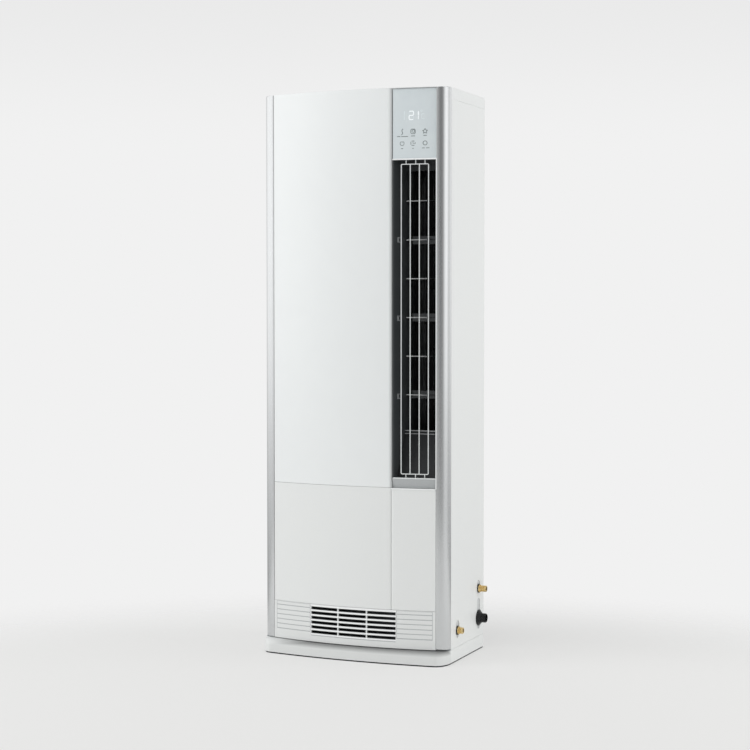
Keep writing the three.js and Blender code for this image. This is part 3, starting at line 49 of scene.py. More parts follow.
# %% [markdown]
# ## Camera
# The photographer stood 23 degrees round to the right, just above half height, with a long lens.
# A camera needs only a place, two angles and a focal length, so they are typed in. A small function
# puts it, and everything made later, in the scene.

# %% Camera
def add_object(name, data):
    """A new object in the scene for a camera, a lamp or a mesh."""
    made = bpy.data.objects.new(name, data)
    bpy.context.scene.collection.objects.link(made)
    return made


camera = add_object("camera", bpy.data.cameras.new("camera"))
camera.location = (2.1923, -5.0530, 1.1129)
camera.rotation_euler = (math.radians(87.777), 0, math.radians(23.328))
camera.data.lens = 81.48
camera.data.sensor_width = 36
bpy.context.scene.camera = camera
bpy.context.scene.view_settings.view_transform = "Standard"
print("camera at", camera.location[:])

# %% [markdown]
# ## Colours and nodes
# Colours are written as the hex values a designer would pick, and Blender wants linear light, so one
# function turns one into the other. A second function adds any node, with its settings and links.

# %% Colour and node helpers
def colour(hexadecimal):
    """An sRGB hex colour as linear red, green, blue and 1."""
    parts = [int(hexadecimal[i:i + 2], 16) / 255 for i in (1, 3, 5)]
    return [c / 12.92 if c <= 0.04045 else ((c + 0.055) / 1.055) ** 2.4 for c in parts] + [1]


def add_node(tree, kind, inputs=None, **settings):
    """Adds one node. A value in inputs that is a socket is linked, any other is typed in."""
    made = tree.nodes.new(kind)
    for name, value in settings.items():
        setattr(made, name, value)
    for name, value in (inputs or {}).items():
        if isinstance(value, bpy.types.NodeSocket):
            tree.links.new(value, made.inputs[name])
        else:
            made.inputs[name].default_value = value
    return made


print("paper white is", [round(c, 3) for c in colour("#f0f0f0")])

# %% [markdown]
# ## Studio
# The photograph is lit by a wide soft light on the left and a weaker one on the right, and the room
# behind the camera is dark. Bright metal shows that room: it is what draws the dark line down each
# silver corner. So mirror rays see grey walls that are darkest behind the camera, while the camera
# itself sees the plain pale backdrop. Below the horizon those walls give way to a grey floor. All
# other light sees an even white room.

# %% World
# Degrees round from -Y towards +X, and the grey that a mirror ray sees there.
WALL_GREYS = [(-180, "#b4b4b4"), (-145, "#b8b8b8"), (-115, "#dedede"), (-88, "#ffffff"), (-40, "#ffffff"),
              (-20, "#b8b8b8"), (-6, "#888888"), (12, "#5d5d5d"), (30, "#7b7b7b"), (52, "#ffffff"),
              (74, "#ffffff"), (92, "#cecece"), (130, "#e6e6e6"), (180, "#dcdcdc")]
FLOOR_GREY, FLOOR_SHARE = "#9c9c9c", 0.85
ROOM_STRENGTH = 0.70
world = bpy.data.worlds.new("pale_studio")
bpy.context.scene.world = world
world.use_nodes = True
tree = world.node_tree
tree.nodes.clear()
direction = add_node(tree, "ShaderNodeTexCoord").outputs["Generated"]
part = add_node(tree, "ShaderNodeSeparateXYZ", {0: direction}).outputs
ahead = add_node(tree, "ShaderNodeMath", {0: part["Y"], 1: -1.0}, operation="MULTIPLY").outputs["Value"]
turn = add_node(tree, "ShaderNodeMath", {0: part["X"], 1: ahead}, operation="ARCTAN2").outputs["Value"]
turn = add_node(tree, "ShaderNodeMapRange", {"Value": turn, "From Min": -math.pi, "From Max": math.pi})
walls = add_node(tree, "ShaderNodeValToRGB", {"Fac": turn.outputs["Result"]})
greys = walls.color_ramp.elements
for degrees, grey in WALL_GREYS[1:-1]:
    greys.new(degrees / 360 + 0.5).color = colour(grey)
greys[0].color, greys[-1].color = colour(WALL_GREYS[0][1]), colour(WALL_GREYS[-1][1])
below = add_node(tree, "ShaderNodeMapRange", {"Value": part["Z"], "From Min": 0.01, "From Max": -0.16,
                                              "To Max": FLOOR_SHARE}).outputs["Result"]
room = add_node(tree, "ShaderNodeMix", {"Factor": below, "A": walls.outputs["Color"],
                                        "B": colour(FLOOR_GREY)}, data_type="RGBA")
high = add_node(tree, "ShaderNodeMapRange", {"Value": part["Z"], "From Min": 0.09, "From Max": 0.19},
                interpolation_type="SMOOTHSTEP").outputs["Result"]
backdrop = add_node(tree, "ShaderNodeMix", {"Factor": high, "A": colour("#f1f1f1"),
                                            "B": colour("#eaeaea")}, data_type="RGBA")
rays = add_node(tree, "ShaderNodeLightPath").outputs
shown = add_node(tree, "ShaderNodeMix", {"Factor": rays["Is Camera Ray"], "A": room.outputs["Result"],
                                         "B": backdrop.outputs["Result"]}, data_type="RGBA")
seen = add_node(tree, "ShaderNodeMath", {0: rays["Is Camera Ray"], 1: rays["Is Glossy Ray"]},
                operation="MAXIMUM").outputs["Value"]
seen = add_node(tree, "ShaderNodeMath", {0: seen, 1: rays["Is Transmission Ray"]},
                operation="MAXIMUM").outputs["Value"]
plain = add_node(tree, "ShaderNodeBackground", {"Color": (1, 1, 1, 1), "Strength": ROOM_STRENGTH})
pale = add_node(tree, "ShaderNodeBackground", {"Color": shown.outputs["Result"], "Strength": 1.0})
both = add_node(tree, "ShaderNodeMixShader", {0: seen, 1: plain.outputs[0], 2: pale.outputs[0]})
add_node(tree, "ShaderNodeOutputWorld", {"Surface": both.outputs[0]})
print("world:", len(tree.nodes), "nodes")


# %% Soft lights
def softbox(name, place, aim, width, height, power):
    """A wide rectangular lamp at place that points at aim, in metres and watts.

    The camera doesn't see it, and neither do mirror rays, which see the grey walls."""
    lamp = bpy.data.lights.new(name, "AREA")
    lamp.shape, lamp.size, lamp.size_y, lamp.energy = "RECTANGLE", width, height, power
    made = add_object(name, lamp)
    made.location = place
    made.rotation_euler = (Vector(aim) - Vector(place)).to_track_quat("-Z", "Y").to_euler()
    made.visible_camera = False
    made.visible_glossy = False


softbox("light_left", (-3.4, -2.6, 1.9), (0, 0, 1.0), 2.4, 2.4, 49)
softbox("light_right", (3.6, 0.5, 1.6), (0.2, 0, 0.9), 2.0, 2.4, 36)
softbox("light_above", (-0.4, -1.2, 3.9), (0, 0, 0.9), 2.4, 2.0, 16)
print("lights:", len(bpy.data.lights))

# %% [markdown]
# ## Floor
# A studio floor turns into the backdrop without an edge. A plain sheet would show its far edge, so
# the floor's material fades out with distance and the pale world shows in its place. The camera
# sees half of the floor's own grey whatever the light, which keeps the shadow as weak as it is in
# the photograph.

# %% Floor
# Metres: half the sheet's width, the middle of what the camera sees of it, and where it fades.
FLOOR_HALF, SEEN_MIDDLE, FADE_START, FADE_END = 6, (0.594, -1.377, 0), 1.75, 2.75
bm = bmesh.new()
bmesh.ops.create_grid(bm, x_segments=1, y_segments=1, size=FLOOR_HALF)
floor_mesh = bpy.data.meshes.new("studio_floor")
bm.to_mesh(floor_mesh)
bm.free()
floor = add_object("studio_floor", floor_mesh)
floor_finish = bpy.data.materials.new("matt_white_studio_floor")
floor_finish.use_nodes = True
floor_mesh.materials.append(floor_finish)
tree = floor_finish.node_tree
tree.nodes.clear()
place = add_node(tree, "ShaderNodeTexCoord").outputs["Object"]
from_middle = add_node(tree, "ShaderNodeVectorMath", {0: place, 1: SEEN_MIDDLE},
                       operation="DISTANCE").outputs["Value"]
gone = add_node(tree, "ShaderNodeMapRange", {"Value": from_middle, "From Min": FADE_START,
                                             "From Max": FADE_END},
                interpolation_type="SMOOTHSTEP").outputs["Result"]
paint = add_node(tree, "ShaderNodeBsdfDiffuse", {"Color": colour("#ebebea")})
glow = add_node(tree, "ShaderNodeEmission", {"Color": colour("#e7e7e6"), "Strength": 1.0})
rays = add_node(tree, "ShaderNodeLightPath").outputs
half = add_node(tree, "ShaderNodeMath", {0: rays["Is Camera Ray"], 1: 0.5},
                operation="MULTIPLY").outputs["Value"]
lit = add_node(tree, "ShaderNodeMixShader", {0: half, 1: paint.outputs[0], 2: glow.outputs[0]})
clear = add_node(tree, "ShaderNodeBsdfTransparent")
faded = add_node(tree, "ShaderNodeMixShader", {0: gone, 1: lit.outputs[0], 2: clear.outputs[0]})
add_node(tree, "ShaderNodeOutputMaterial", {"Surface": faded.outputs[0]})
print("floor fades from", FADE_START, "m to", FADE_END, "m")

# %% [markdown]
# ## Finishes
# Every finish here is one Principled shader whose colour, roughness and relief follow the same
# pattern, as they do on a real surface: a grain that stands up also catches the light. The pattern
# is drawn in Object coordinates, so it stays on the piece when the piece moves. Its size comes from
# the real grain in millimetres.

# %% Finish helper
def finish(name, light, dark, roughness, grain, relief, kind="ShaderNodeTexNoise", stretch=(1, 1, 1),
           settings=None, fade=None, fade_ends=(), **shader_values):
    """A finish whose pattern has features grain mm across and relief mm high.

    light and dark are the two colours of the pattern, and roughness its two values. stretch makes
    the features longer along an axis. fade is an axis, two places on it in mm and the share of the
    colour left at each. Each of fade_ends is an axis and two places in mm between which the fade
    wears off. shader_values are sockets of the shader, with _ for spaces."""
    made = bpy.data.materials.new(name)
    made.use_nodes = True
    tree = made.node_tree
    shader = tree.nodes["Principled BSDF"]
    for socket, value in shader_values.items():
        shader.inputs[socket.replace("_", " ")].default_value = value
    place = add_node(tree, "ShaderNodeTexCoord").outputs["Object"]
    scaled = add_node(tree, "ShaderNodeMapping", {"Vector": place, "Scale": [1 / s for s in stretch]})
    inputs = {"Vector": scaled.outputs[0], "Scale": 1 / (grain * MM)}
    pattern = add_node(tree, kind, inputs, **(settings or {}))
    value = pattern.outputs["Fac" if "Fac" in pattern.outputs else "Distance"]
    if kind == "ShaderNodeTexNoise":
        value = add_node(tree, "ShaderNodeMapRange", {"Value": value, "From Min": 0.3, "From Max": 0.7}
                         ).outputs["Result"]
    tint = add_node(tree, "ShaderNodeMix", {"Factor": value, "A": colour(dark), "B": colour(light)},
                    data_type="RGBA").outputs["Result"]
    if fade:
        axis, start, end, first_share, last_share = fade
        along = add_node(tree, "ShaderNodeSeparateXYZ", {0: place}).outputs
        kept = add_node(tree, "ShaderNodeMapRange", {"Value": along[axis], "From Min": start * MM,
                                                     "From Max": end * MM, "To Min": first_share,
                                                     "To Max": last_share}).outputs["Result"]
        for axis, start, end in fade_ends:
            worn = add_node(tree, "ShaderNodeMapRange", {"Value": along[axis], "From Min": start * MM,
                                                         "From Max": end * MM}).outputs["Result"]
            kept = add_node(tree, "ShaderNodeMath", {0: kept, 1: worn},
                            operation="MAXIMUM").outputs["Value"]
        tint = add_node(tree, "ShaderNodeVectorMath", {0: tint, 1: kept},
                        operation="MULTIPLY").outputs["Vector"]
    tree.links.new(tint, shader.inputs["Base Color"])
    rough = add_node(tree, "ShaderNodeMapRange", {"Value": value, "To Min": roughness[1],
                                                  "To Max": roughness[0]})
    tree.links.new(rough.outputs["Result"], shader.inputs["Roughness"])
    bump = add_node(tree, "ShaderNodeBump", {"Height": value, "Strength": 1.0, "Distance": relief * MM})
    tree.links.new(bump.outputs["Normal"], shader.inputs["Normal"])
    return made


# %% [markdown]
# ### White plastics and paint
# The wide panel is high gloss ABS, moulded in a polished tool: nearly a mirror, with a faint long
# wave from shrinking. The other mouldings come from a tool with a fine spark-eroded texture. The
# steel sheets are powder coated, which leaves the small ripple called orange peel.

# %% White finishes
# Polished ABS: soft reflections and a wave 60 mm long. Its rolled right edge is painted darker,
# a painted shade where it turns towards the outlet.
gloss_white = finish("high_gloss_white_abs", "#eef1f1", "#edf0f0", (0.28, 0.3), 60, 0.0005,
                     fade=("X", 132, 140.6, 1.0, 0.48), Coat_Weight=1.0, Coat_Roughness=0.25,
                     Specular_IOR_Level=0.7)
# Spark-eroded ABS: real grain 0.3 mm, drawn at 1.6 mm so that it shows.
satin_white = finish("spark_eroded_white_abs", "#e9ebea", "#e6e8e7", (0.34, 0.42), 1.6, 0.02)
# The same plastic in the grilles, a little duller.
foot_white = finish("scuffed_white_abs", "#e6e8e7", "#e2e4e3", (0.36, 0.46), 1.6, 0.02)
# The plinth: painted shade darkens it towards the joint under the panels, but neither on its
# sides nor at its left end.
plinth_white = finish("white_abs_painted_joint_shade", "#e8eae9", "#e4e6e5", (0.4, 0.5), 1.6, 0.02,
                      fade=("Z", 30, 45, 0.93, 0.24), fade_ends=[("Y", -140, -108), ("X", -90, -290)])
# Intake bars and outlet rim: polished edges, their white painted lighter than the other white
# plastics as a painted highlight.
edge_white = finish("polished_white_abs_painted_highlight", "#f8fafa", "#f4f6f6", (0.2, 0.26), 3, 0.0)
# Powder coat: real ripple about 2 mm, drawn at 4 mm so that it shows.
powder_white = finish("powder_coated_white_steel", "#e8eae9", "#e4e6e5", (0.34, 0.42), 4, 0.03)
# Guard and sill lip: painted ABS, smooth enough to catch a line of light along an edge.
guard_white = finish("painted_white_abs", "#e6e9e9", "#dfe3e3", (0.26, 0.34), 3, 0.01)

# %% [markdown]
# ### Silver, greys and blacks
# The corner mouldings are plastic under a vacuum metallised film with a fine upright brushing. The
# scratches run the full height, about 0.1 mm apart. They are drawn 0.7 mm apart so that they show.
# Their colour is painted darker towards the floor, a painted shade.

# %% Silver, grey and black finishes
# The fade paints shade on the lower part of the mouldings.
silver = finish("brushed_silver_moulding", "#f3f5f6", "#eef0f1", (0.18, 0.23), 0.7, 0.0002,
                stretch=(1, 1, 160), fade=("Z", 900, 100, 1.0, 0.75), Metallic=0.92)
# Moulded grey ABS with a satin tool.
grey_moulding = finish("satin_grey_abs", "#b7babb", "#b0b3b4", (0.34, 0.42), 1.6, 0.02)
# Primed sheet behind the side slots and beside the touch panel.
plate_grey = finish("primed_grey_sheet", "#cfd2d2", "#c9cccc", (0.4, 0.5), 3, 0.02)
# Glass panel printed pale blue-grey from behind.
touch_glass = finish("back_printed_touch_glass", "#d9e1e3", "#d5dde0", (0.12, 0.18), 40, 0.0,
                     Coat_Weight=0.4, Coat_Roughness=0.1)
# Light grey polypropylene of the blades' noses, with painted shade towards their far end.
blade_grey = finish("light_grey_polypropylene", "#f2f4f4", "#eceeee", (0.36, 0.46), 2, 0.02,
                    fade=("X", 150, 217, 1.0, 0.5))
# Dark polypropylene of the blades behind their noses.
blade_dark = finish("dark_grey_polypropylene", "#2e3032", "#26282a", (0.4, 0.52), 2, 0.03)
# Dark grey ABS of the duct's walls, with a moulded grain.
duct_grey = finish("grained_dark_grey_abs", "#525557", "#484b4d", (0.42, 0.55), 2, 0.05)
# Black ABS of the vanes and the fan.
vane_black = finish("grained_black_abs", "#131416", "#0c0d0e", (0.5, 0.62), 2, 0.05)
# Dark grey glass-filled nylon of the braces.
dark_nylon = finish("dark_grey_filled_nylon", "#747678", "#686b6d", (0.5, 0.6), 2, 0.05)
# The ramp's nylon is darker.
ramp_black = finish("black_filled_nylon", "#2c2e30", "#242628", (0.5, 0.6), 2, 0.05)
# Rubber: dull, with a mould bloom. The same black makes the strip under the plinth, which is painted
# shadow.
rubber_and_shadow_black = finish("moulded_black_rubber_and_shadow_strip", "#101315", "#0a0c0e", (0.2, 0.34), 5, 0.05,
                      Specular_IOR_Level=0.35)
print("finishes so far:", len(bpy.data.materials))

# %% [markdown]
# ### Display and print
# The digits are white lamps behind the glass, so they shine a little. Unlit digits and the touch
# marks are screen printed.

# %% Display and print finishes
lamp_white = finish("lit_display_digit", "#f6fafb", "#eff5f7", (0.4, 0.5), 3, 0.0, Emission_Strength=0.12)
lamp_white.node_tree.nodes["Principled BSDF"].inputs["Emission Color"].default_value = colour("#f2fbff")
ghost_grey = finish("unlit_display_digit", "#dfe8eb", "#dbe4e7", (0.3, 0.4), 3, 0.0)
print_grey = finish("screen_printed_grey_ink", "#838c8c", "#798282", (0.4, 0.5), 3, 0.0)
print("display finishes ready")

# %% [markdown]
# ### Metals, boards and filter
# Inside are ordinary sheet metals. Hot-dip zinc freezes in flat crystals, which a Voronoi pattern
# draws. Copper tube and the brass unions are drawn with a faint tarnish.

# %% Metal, board and filter finishes
galvanised = finish("spangled_zinc_sheet", "#b4b9bc", "#a7adb0", (0.34, 0.46), 11, 0.0,
                    kind="ShaderNodeTexVoronoi", Metallic=0.9)
aluminium = finish("aluminium_fin_stock", "#cdd1d3", "#8f9598", (0.32, 0.45), 1.8, 0.6,
                   stretch=(1, 60, 60), Metallic=0.9)
copper = finish("drawn_copper_tube", "#c07a4a", "#9c5a34", (0.25, 0.45), 12, 0.02, Metallic=1.0)
brass = finish("turned_brass", "#efd7a0", "#dcbc7c", (0.14, 0.26), 6, 0.01, Metallic=1.0)
# Blackened steel of the rear screws.
black_steel = finish("blackened_steel", "#2e3133", "#212426", (0.3, 0.42), 4, 0.02, Metallic=0.8)
board_green = finish("solder_masked_board", "#2f6140", "#234c31", (0.3, 0.5), 9, 0.05)
filter_grey = finish("woven_filter_net", "#767c80", "#4f5558", (0.7, 0.9), 3, 0.4,
                     kind="ShaderNodeTexVoronoi")

# %% [markdown]
# ## Carried-over pieces
# The duct, blades, vanes, fan, coil and electrics keep the shape the model gives them, and each gets
# its own finish.

# %% Finishes on carried-over pieces
carried = {
    satin_white: ["lower_front_panel_left", "lower_front_panel_right"],
    foot_white: ["intake_grille", "rear_intake_grille"],
    plinth_white: ["plinth"],
    gloss_white: ["upper_front_panel"],
    powder_white: ["left_side_panel", "right_side_panel", "top_cover"],
    silver: ["left_trim", "right_trim"],
    touch_glass: ["control_panel"],
    grey_moulding: ["outlet_sill"],
    plate_grey: ["service_plate"],
    guard_white: ["outlet_guard"],
    blade_dark: [n for n in nodes if n.startswith("guide_blade_")],
    duct_grey: ["outlet_duct"],
    vane_black: ["display_housing", "fan_rotor", "vane_link", "terminal_block", "blade_link",
                 *[n for n in nodes if n.startswith("swing_vane_")]],
    ramp_black: ["duct_ramp"],
    dark_nylon: [n for n in nodes if n.startswith("duct_brace_")],
    rubber_and_shadow_black: ["drain_hose", "drain_spigot", "drain_pan", "cable_gland", "upper_union_nut",
                   "lower_union_nut"],
    galvanised: ["base_pan", "rear_panel", "partition_shelf", "front_frame", "fan_scroll", "swing_motor",
                 "fan_motor", "electrical_box", "electrical_cover", "fan_top_bearing"],
    aluminium: ["evaporator_fins", "capacitor"],
    copper: ["evaporator_tube", "gas_pipe", "liquid_pipe"],
    brass: ["upper_union", "lower_union"],
    board_green: ["display_board", "control_board"],
    filter_grey: ["air_filter"],
}
for material, names in carried.items():
    for name in names:
        for slot in nodes[name].material_slots:
            slot.material = material
bare = sorted(set(nodes) - {name for names in carried.values() for name in names})
print("dressed:", len(nodes) - len(bare), "left:", bare)

# %% [markdown]
# ## Making a piece
# A piece is drawn in millimetres as a bmesh, then scaled to metres, shaded smooth except at real
# corners, and hung on the body that carries it. The Weighted Normal modifier keeps flat faces flat
# next to a small rounded edge.

# %% Piece helper
def make_piece(name, bm, material, replaced=(), body="cabinet", corner=35):
    """A finished piece from a bmesh in millimetres, riding on a body and standing for CAD nodes."""
    bmesh.ops.recalc_face_normals(bm, faces=bm.faces)
    bmesh.ops.scale(bm, vec=(MM, MM, MM), verts=bm.verts)
    mesh = bpy.data.meshes.new(name)
    bm.to_mesh(mesh)
    bm.free()
    mesh.shade_smooth()
    mesh.set_sharp_from_angle(angle=math.radians(corner))
    mesh.materials.append(material)
    made = add_object(name, mesh)
    weighted = made.modifiers.new("flat_faces_stay_flat", "WEIGHTED_NORMAL")
    weighted.keep_sharp = True
    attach(made, body)
    if replaced:
        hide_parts(*replaced)
    print(name, len(mesh.polygons), "faces")
    return made


def verts_of(result):
    """The vertices among what a bmesh operator made."""
    return [g for g in result["geom"] if isinstance(g, bmesh.types.BMVert)]


def raise_faces(bm, faces, x, y, z):
    """Extrudes faces and moves what that makes by x, y and z."""
    raised = bmesh.ops.extrude_face_region(bm, geom=faces)
    bmesh.ops.translate(bm, verts=verts_of(raised), vec=(x, y, z))


def round_edges(bm, edges, radius, segments):
    """Rounds edges with the bevel operator."""
    bmesh.ops.bevel(bm, geom=edges, offset=radius, segments=segments, profile=0.5, affect="EDGES",
                    clamp_overlap=True)


def sharp_edges(bm, degrees=50):
    """The edges where two faces meet at more than that angle."""
    return [e for e in bm.edges if len(e.link_faces) == 2 and e.calc_face_angle(0) > math.radians(degrees)]


def soften(bm, radius, segments, degrees=50):
    """Rounds all the sharp edges."""
    round_edges(bm, sharp_edges(bm, degrees), radius, segments)


# %% Shape helpers
def block(x0, x1, y0, y1, z0, z1, radius=0.4):
    """A box between six limits, with rounded edges."""
    bm = bmesh.new()
    bmesh.ops.create_cube(bm, size=1)
    bmesh.ops.scale(bm, vec=(x1 - x0, y1 - y0, z1 - z0), verts=bm.verts)
    bmesh.ops.translate(bm, vec=((x0 + x1) / 2, (y0 + y1) / 2, (z0 + z1) / 2), verts=bm.verts)
    round_edges(bm, bm.edges[:], radius, 2)
    return bm


def turned(profile, y, z, steps=48):
    """A part turned about the X axis that passes y and z. The profile lists x and radius."""
    bm = bmesh.new()
    line = [bm.verts.new((x, y, z + radius)) for x, radius in profile]
    line += [bm.edges.new(pair) for pair in zip(line, line[1:])]
    bmesh.ops.spin(bm, geom=line, cent=(0, y, z), axis=(1, 0, 0), angle=2 * math.pi, steps=steps,
                   use_merge=True)
    bmesh.ops.remove_doubles(bm, verts=bm.verts, dist=0.001)
    return bm


def recess(bm, faces, margin, rise):
    """Moves all but a margin of level faces up by rise. They are left out, so only walls stay."""
    bmesh.ops.inset_region(bm, faces=faces, thickness=margin, use_boundary=True, use_even_offset=True)
    raise_faces(bm, faces, 0, 0, rise)
    bmesh.ops.delete(bm, geom=faces, context="FACES_ONLY")


def add_part(bm, other):
    """Adds a second bmesh to the first."""
    mesh = bpy.data.meshes.new("part")
    other.to_mesh(mesh)
    other.free()
    bm.from_mesh(mesh)
    bpy.data.meshes.remove(mesh)


# %% [markdown]
# ## The bow
# The whole front is part of one upright cylinder, 1331 mm in radius. Spinning a vertex about its
# axis lays a line along the bow, and that is how every front piece starts.

# %% Bow helpers
BOW_RADIUS = 1331.0167
BOW_AXIS_Y = 1159.0167


def front_y(x, inset=0.0):
    """y of the bowed front at x, or of a surface that lies inset behind it."""
    return BOW_AXIS_Y - math.sqrt((BOW_RADIUS - inset) ** 2 - x ** 2)


def spin_along(bm, geometry, x0, x1, inset=0.0, step=12.0):
    """Carries geometry that stands at x0 along the bow to x1. Returns what stands there."""
    radius = BOW_RADIUS - inset
    turn = math.asin(x1 / radius) - math.asin(x0 / radius)
    spun = bmesh.ops.spin(bm, geom=geometry, cent=(0, BOW_AXIS_Y, 0), axis=(0, 0, 1), angle=turn,
                          steps=max(1, round(abs(x1 - x0) / step)))
    return spun["geom_last"]


def bow_slab(x0, x1, z0, z1, inset, depth):
    """A slab that follows the bow between two insets, from z0 up to z1."""
    bm = bmesh.new()
    ends = []
    for behind in (inset, inset + depth):
        first = bm.verts.new((x0, front_y(x0, behind), z0))
        ends.append((first, spin_along(bm, [first], x0, x1, behind)[0]))
    for near, far in zip(*ends):
        bm.edges.new((near, far))
    plan = bmesh.ops.contextual_create(bm, geom=bm.edges[:])["faces"]
    raise_faces(bm, plan, 0, 0, z1 - z0)
    bmesh.ops.recalc_face_normals(bm, faces=bm.faces)
    return bm


def upright_edge(bm, x):
    """The upright edges of a slab at x on the bowed front."""
    y = front_y(x)
    return [e for e in bm.edges if all(abs(v.co.x - x) < 0.01 and abs(v.co.y - y) < 0.01 for v in e.verts)]


# %% [markdown]
# ## Front panels
# The wide upper panel turns in towards the outlet with a rolled right edge. The two lower panels
# meet at a soft V joint, because their edges roll in over 9 mm but only 4 mm deep. Each is a slab
# whose upright edges get a wide bevel that is then pressed flatter. Where joints meet, edges shrink
# to nothing, and these are dissolved at the end.

# %% Front panels
HEIGHT = 1800
PANEL_X = 280.6
COLUMN_X = 140.2
MID_SEAM_Z = 554
LOWER_RIGHT_TOP_Z = 548.1
INTAKE_TOP_Z = 169
LOWER_SEAM_X = 138.75
HALF_GAP = 0.4
PANEL_DEPTH = 14
# Width and depth of the rolled edges: at the corner mouldings, in the V joint and at the outlet.
OUTER_ROLL, SEAM_ROLL, OUTLET_ROLL = (2, 1.5), (9, 4.2), (13.8, 12)


def inset_of(v):
    """How far a vertex lies behind the bowed front."""
    return BOW_RADIUS - math.hypot(v.co.x, v.co.y - BOW_AXIS_Y)


def roll_edge(bm, x, width, depth):
    """Rolls the upright front edge at x over that width and depth."""
    round_edges(bm, upright_edge(bm, x), width, 10)
    for v in bm.verts:
        inset = inset_of(v)
        if abs(v.co.x - x) < width + 0.01 and inset < width + 0.01:
            v.co.y = front_y(v.co.x, inset * depth / width)


def front_panel(name, x0, x1, z0, z1, left, right, material):
    """A front panel between four limits, with its left and right edges rolled."""
    bm = bow_slab(x0, x1, z0, z1, 0, PANEL_DEPTH)
    roll_edge(bm, x0, *left)
    roll_edge(bm, x1, *right)
    front_top = [e for e in sharp_edges(bm) if all(v.co.z > z1 - 0.01 and inset_of(v) < 9 for v in e.verts)]
    round_edges(bm, front_top, 0.7, 4)
    soften(bm, 0.4, 1, 60)
    bmesh.ops.dissolve_degenerate(bm, dist=0.001, edges=bm.edges[:])
    make_piece(name, bm, material, [name])


front_panel("upper_front_panel", -PANEL_X, COLUMN_X, MID_SEAM_Z + HALF_GAP, HEIGHT - 0.3, OUTER_ROLL,
            OUTLET_ROLL, gloss_white)
front_panel("lower_front_panel_left", -PANEL_X, LOWER_SEAM_X - 0.25, INTAKE_TOP_Z + HALF_GAP,
            MID_SEAM_Z - HALF_GAP, OUTER_ROLL, SEAM_ROLL, satin_white)
front_panel("lower_front_panel_right", LOWER_SEAM_X + 0.25, PANEL_X, INTAKE_TOP_Z + HALF_GAP,
            LOWER_RIGHT_TOP_Z, SEAM_ROLL, OUTER_ROLL, satin_white)

# %% [markdown]
# ## Intake grille
# Three bays of six slots stand between two fields of blind louvres. The sheet is spun along the bow
# in spans that end exactly at the bays, the slot faces are taken out, and the rest is thickened by
# extruding it towards the bow's axis. Light bars then stand just proud between the slots, their
# whiter paint a painted highlight. The louvres are raised pads over a grey field, a painted shade
# that shows between them as fine lines.

# %% Intake grille
GRID_X0, GRID_X1, GRID_Z0, GRID_PITCH = -139, 154, 74.4, 15.35
FIELD_X, GRILLE_FOOT, GRILLE_THICK = 270, 47.5, 5
SLOT_TALL, BAY_COUNT, ROW_COUNT, MULLION = 9.75, 3, 6, 4
bay = (GRID_X1 - GRID_X0 - (BAY_COUNT - 1) * MULLION) / BAY_COUNT
bays = [(GRID_X0 + i * (bay + MULLION), GRID_X0 + i * (bay + MULLION) + bay) for i in range(BAY_COUNT)]
rows = [GRID_Z0 + row * GRID_PITCH for row in range(ROW_COUNT)]
levels = [GRILLE_FOOT, *[z + up for z in rows for up in (0, SLOT_TALL)], INTAKE_TOP_Z - HALF_GAP]
stations = [-PANEL_X, *[x for limits in bays for x in limits], PANEL_X]
bm = bmesh.new()
standing = [bm.verts.new((-PANEL_X, front_y(PANEL_X), z)) for z in levels]
geometry = standing + [bm.edges.new(pair) for pair in zip(standing, standing[1:])]
for x0, x1 in zip(stations, stations[1:]):
    geometry = spin_along(bm, geometry, x0, x1)
slots = []
for face in bm.faces:
    middle = face.calc_center_median()
    if any(z < middle.z < z + SLOT_TALL for z in rows) and any(x0 < middle.x < x1 for x0, x1 in bays):
        slots.append(face)
bmesh.ops.delete(bm, geom=slots, context="FACES")
back = bmesh.ops.extrude_face_region(bm, geom=bm.faces[:])
shrink = (BOW_RADIUS - GRILLE_THICK) / BOW_RADIUS
bmesh.ops.scale(bm, vec=(shrink, shrink, 1), space=Matrix.Translation((0, -BOW_AXIS_Y, 0)),
                verts=verts_of(back))
make_piece("intake_grille", bm, foot_white, ["intake_grille"])

# %% Bars and blind louvres
def strips(name, material, limits, radius=0.5, segments=2):
    """Strips that follow the bow, each from x0, x1, z0, z1, inset and depth, with rounded edges."""
    bm = bmesh.new()
    for limit in limits:
        strip = bow_slab(*limit)
        soften(strip, radius, segments)
        add_part(bm, strip)
    make_piece(name, bm, material)


BAR_TALL, LOUVRE_TOP, FIELD_TOP = 5.4, 166, 167
bm = bmesh.new()
for row in range(ROW_COUNT + 1):
    z = GRID_Z0 + row * GRID_PITCH
    bar = bow_slab(GRID_X0 - 0.5, GRID_X1 + 0.5, z - BAR_TALL, z - 0.3, -1.1, 5)
    round_edges(bar, [e for e in sharp_edges(bar) if all(inset_of(v) < 0 for v in e.verts)], 1.8, 4)
    add_part(bm, bar)
make_piece("intake_bars", bm, edge_white)
fields = [(-FIELD_X, GRID_X0 - 4), (GRID_X1 + 4, FIELD_X)]
strips("blind_louvres", foot_white,
       [(x0, x1, z + 6.1, min(z + GRID_PITCH + 3.4, LOUVRE_TOP), -0.35, 1)
        for x0, x1 in fields for z in rows], 0.3, 1)
# The grey fields and the grey bead are painted shade: grey strips where the louvres and the lowest bar only
# cast shadow.
strips("louvre_shadow_fields", grey_moulding,
       [(x0 - 1.4, x1 + 1.4, GRID_Z0 + 3.3, FIELD_TOP, -0.08, 1) for x0, x1 in fields], 0.1, 1)
strips("intake_shadow_bead", grey_moulding,
       [(GRID_X0, GRID_X1, GRID_Z0 - BAR_TALL - 2, GRID_Z0 - BAR_TALL, -0.2, 1)], 0.2, 1)

# %% [markdown]
# ## Touch panel and sill
# The touch panel is a glass slab set 5 mm behind the front. The grey sill leans forward under the
# outlet, with a small bead along its foot and a light lip of its own along its top.

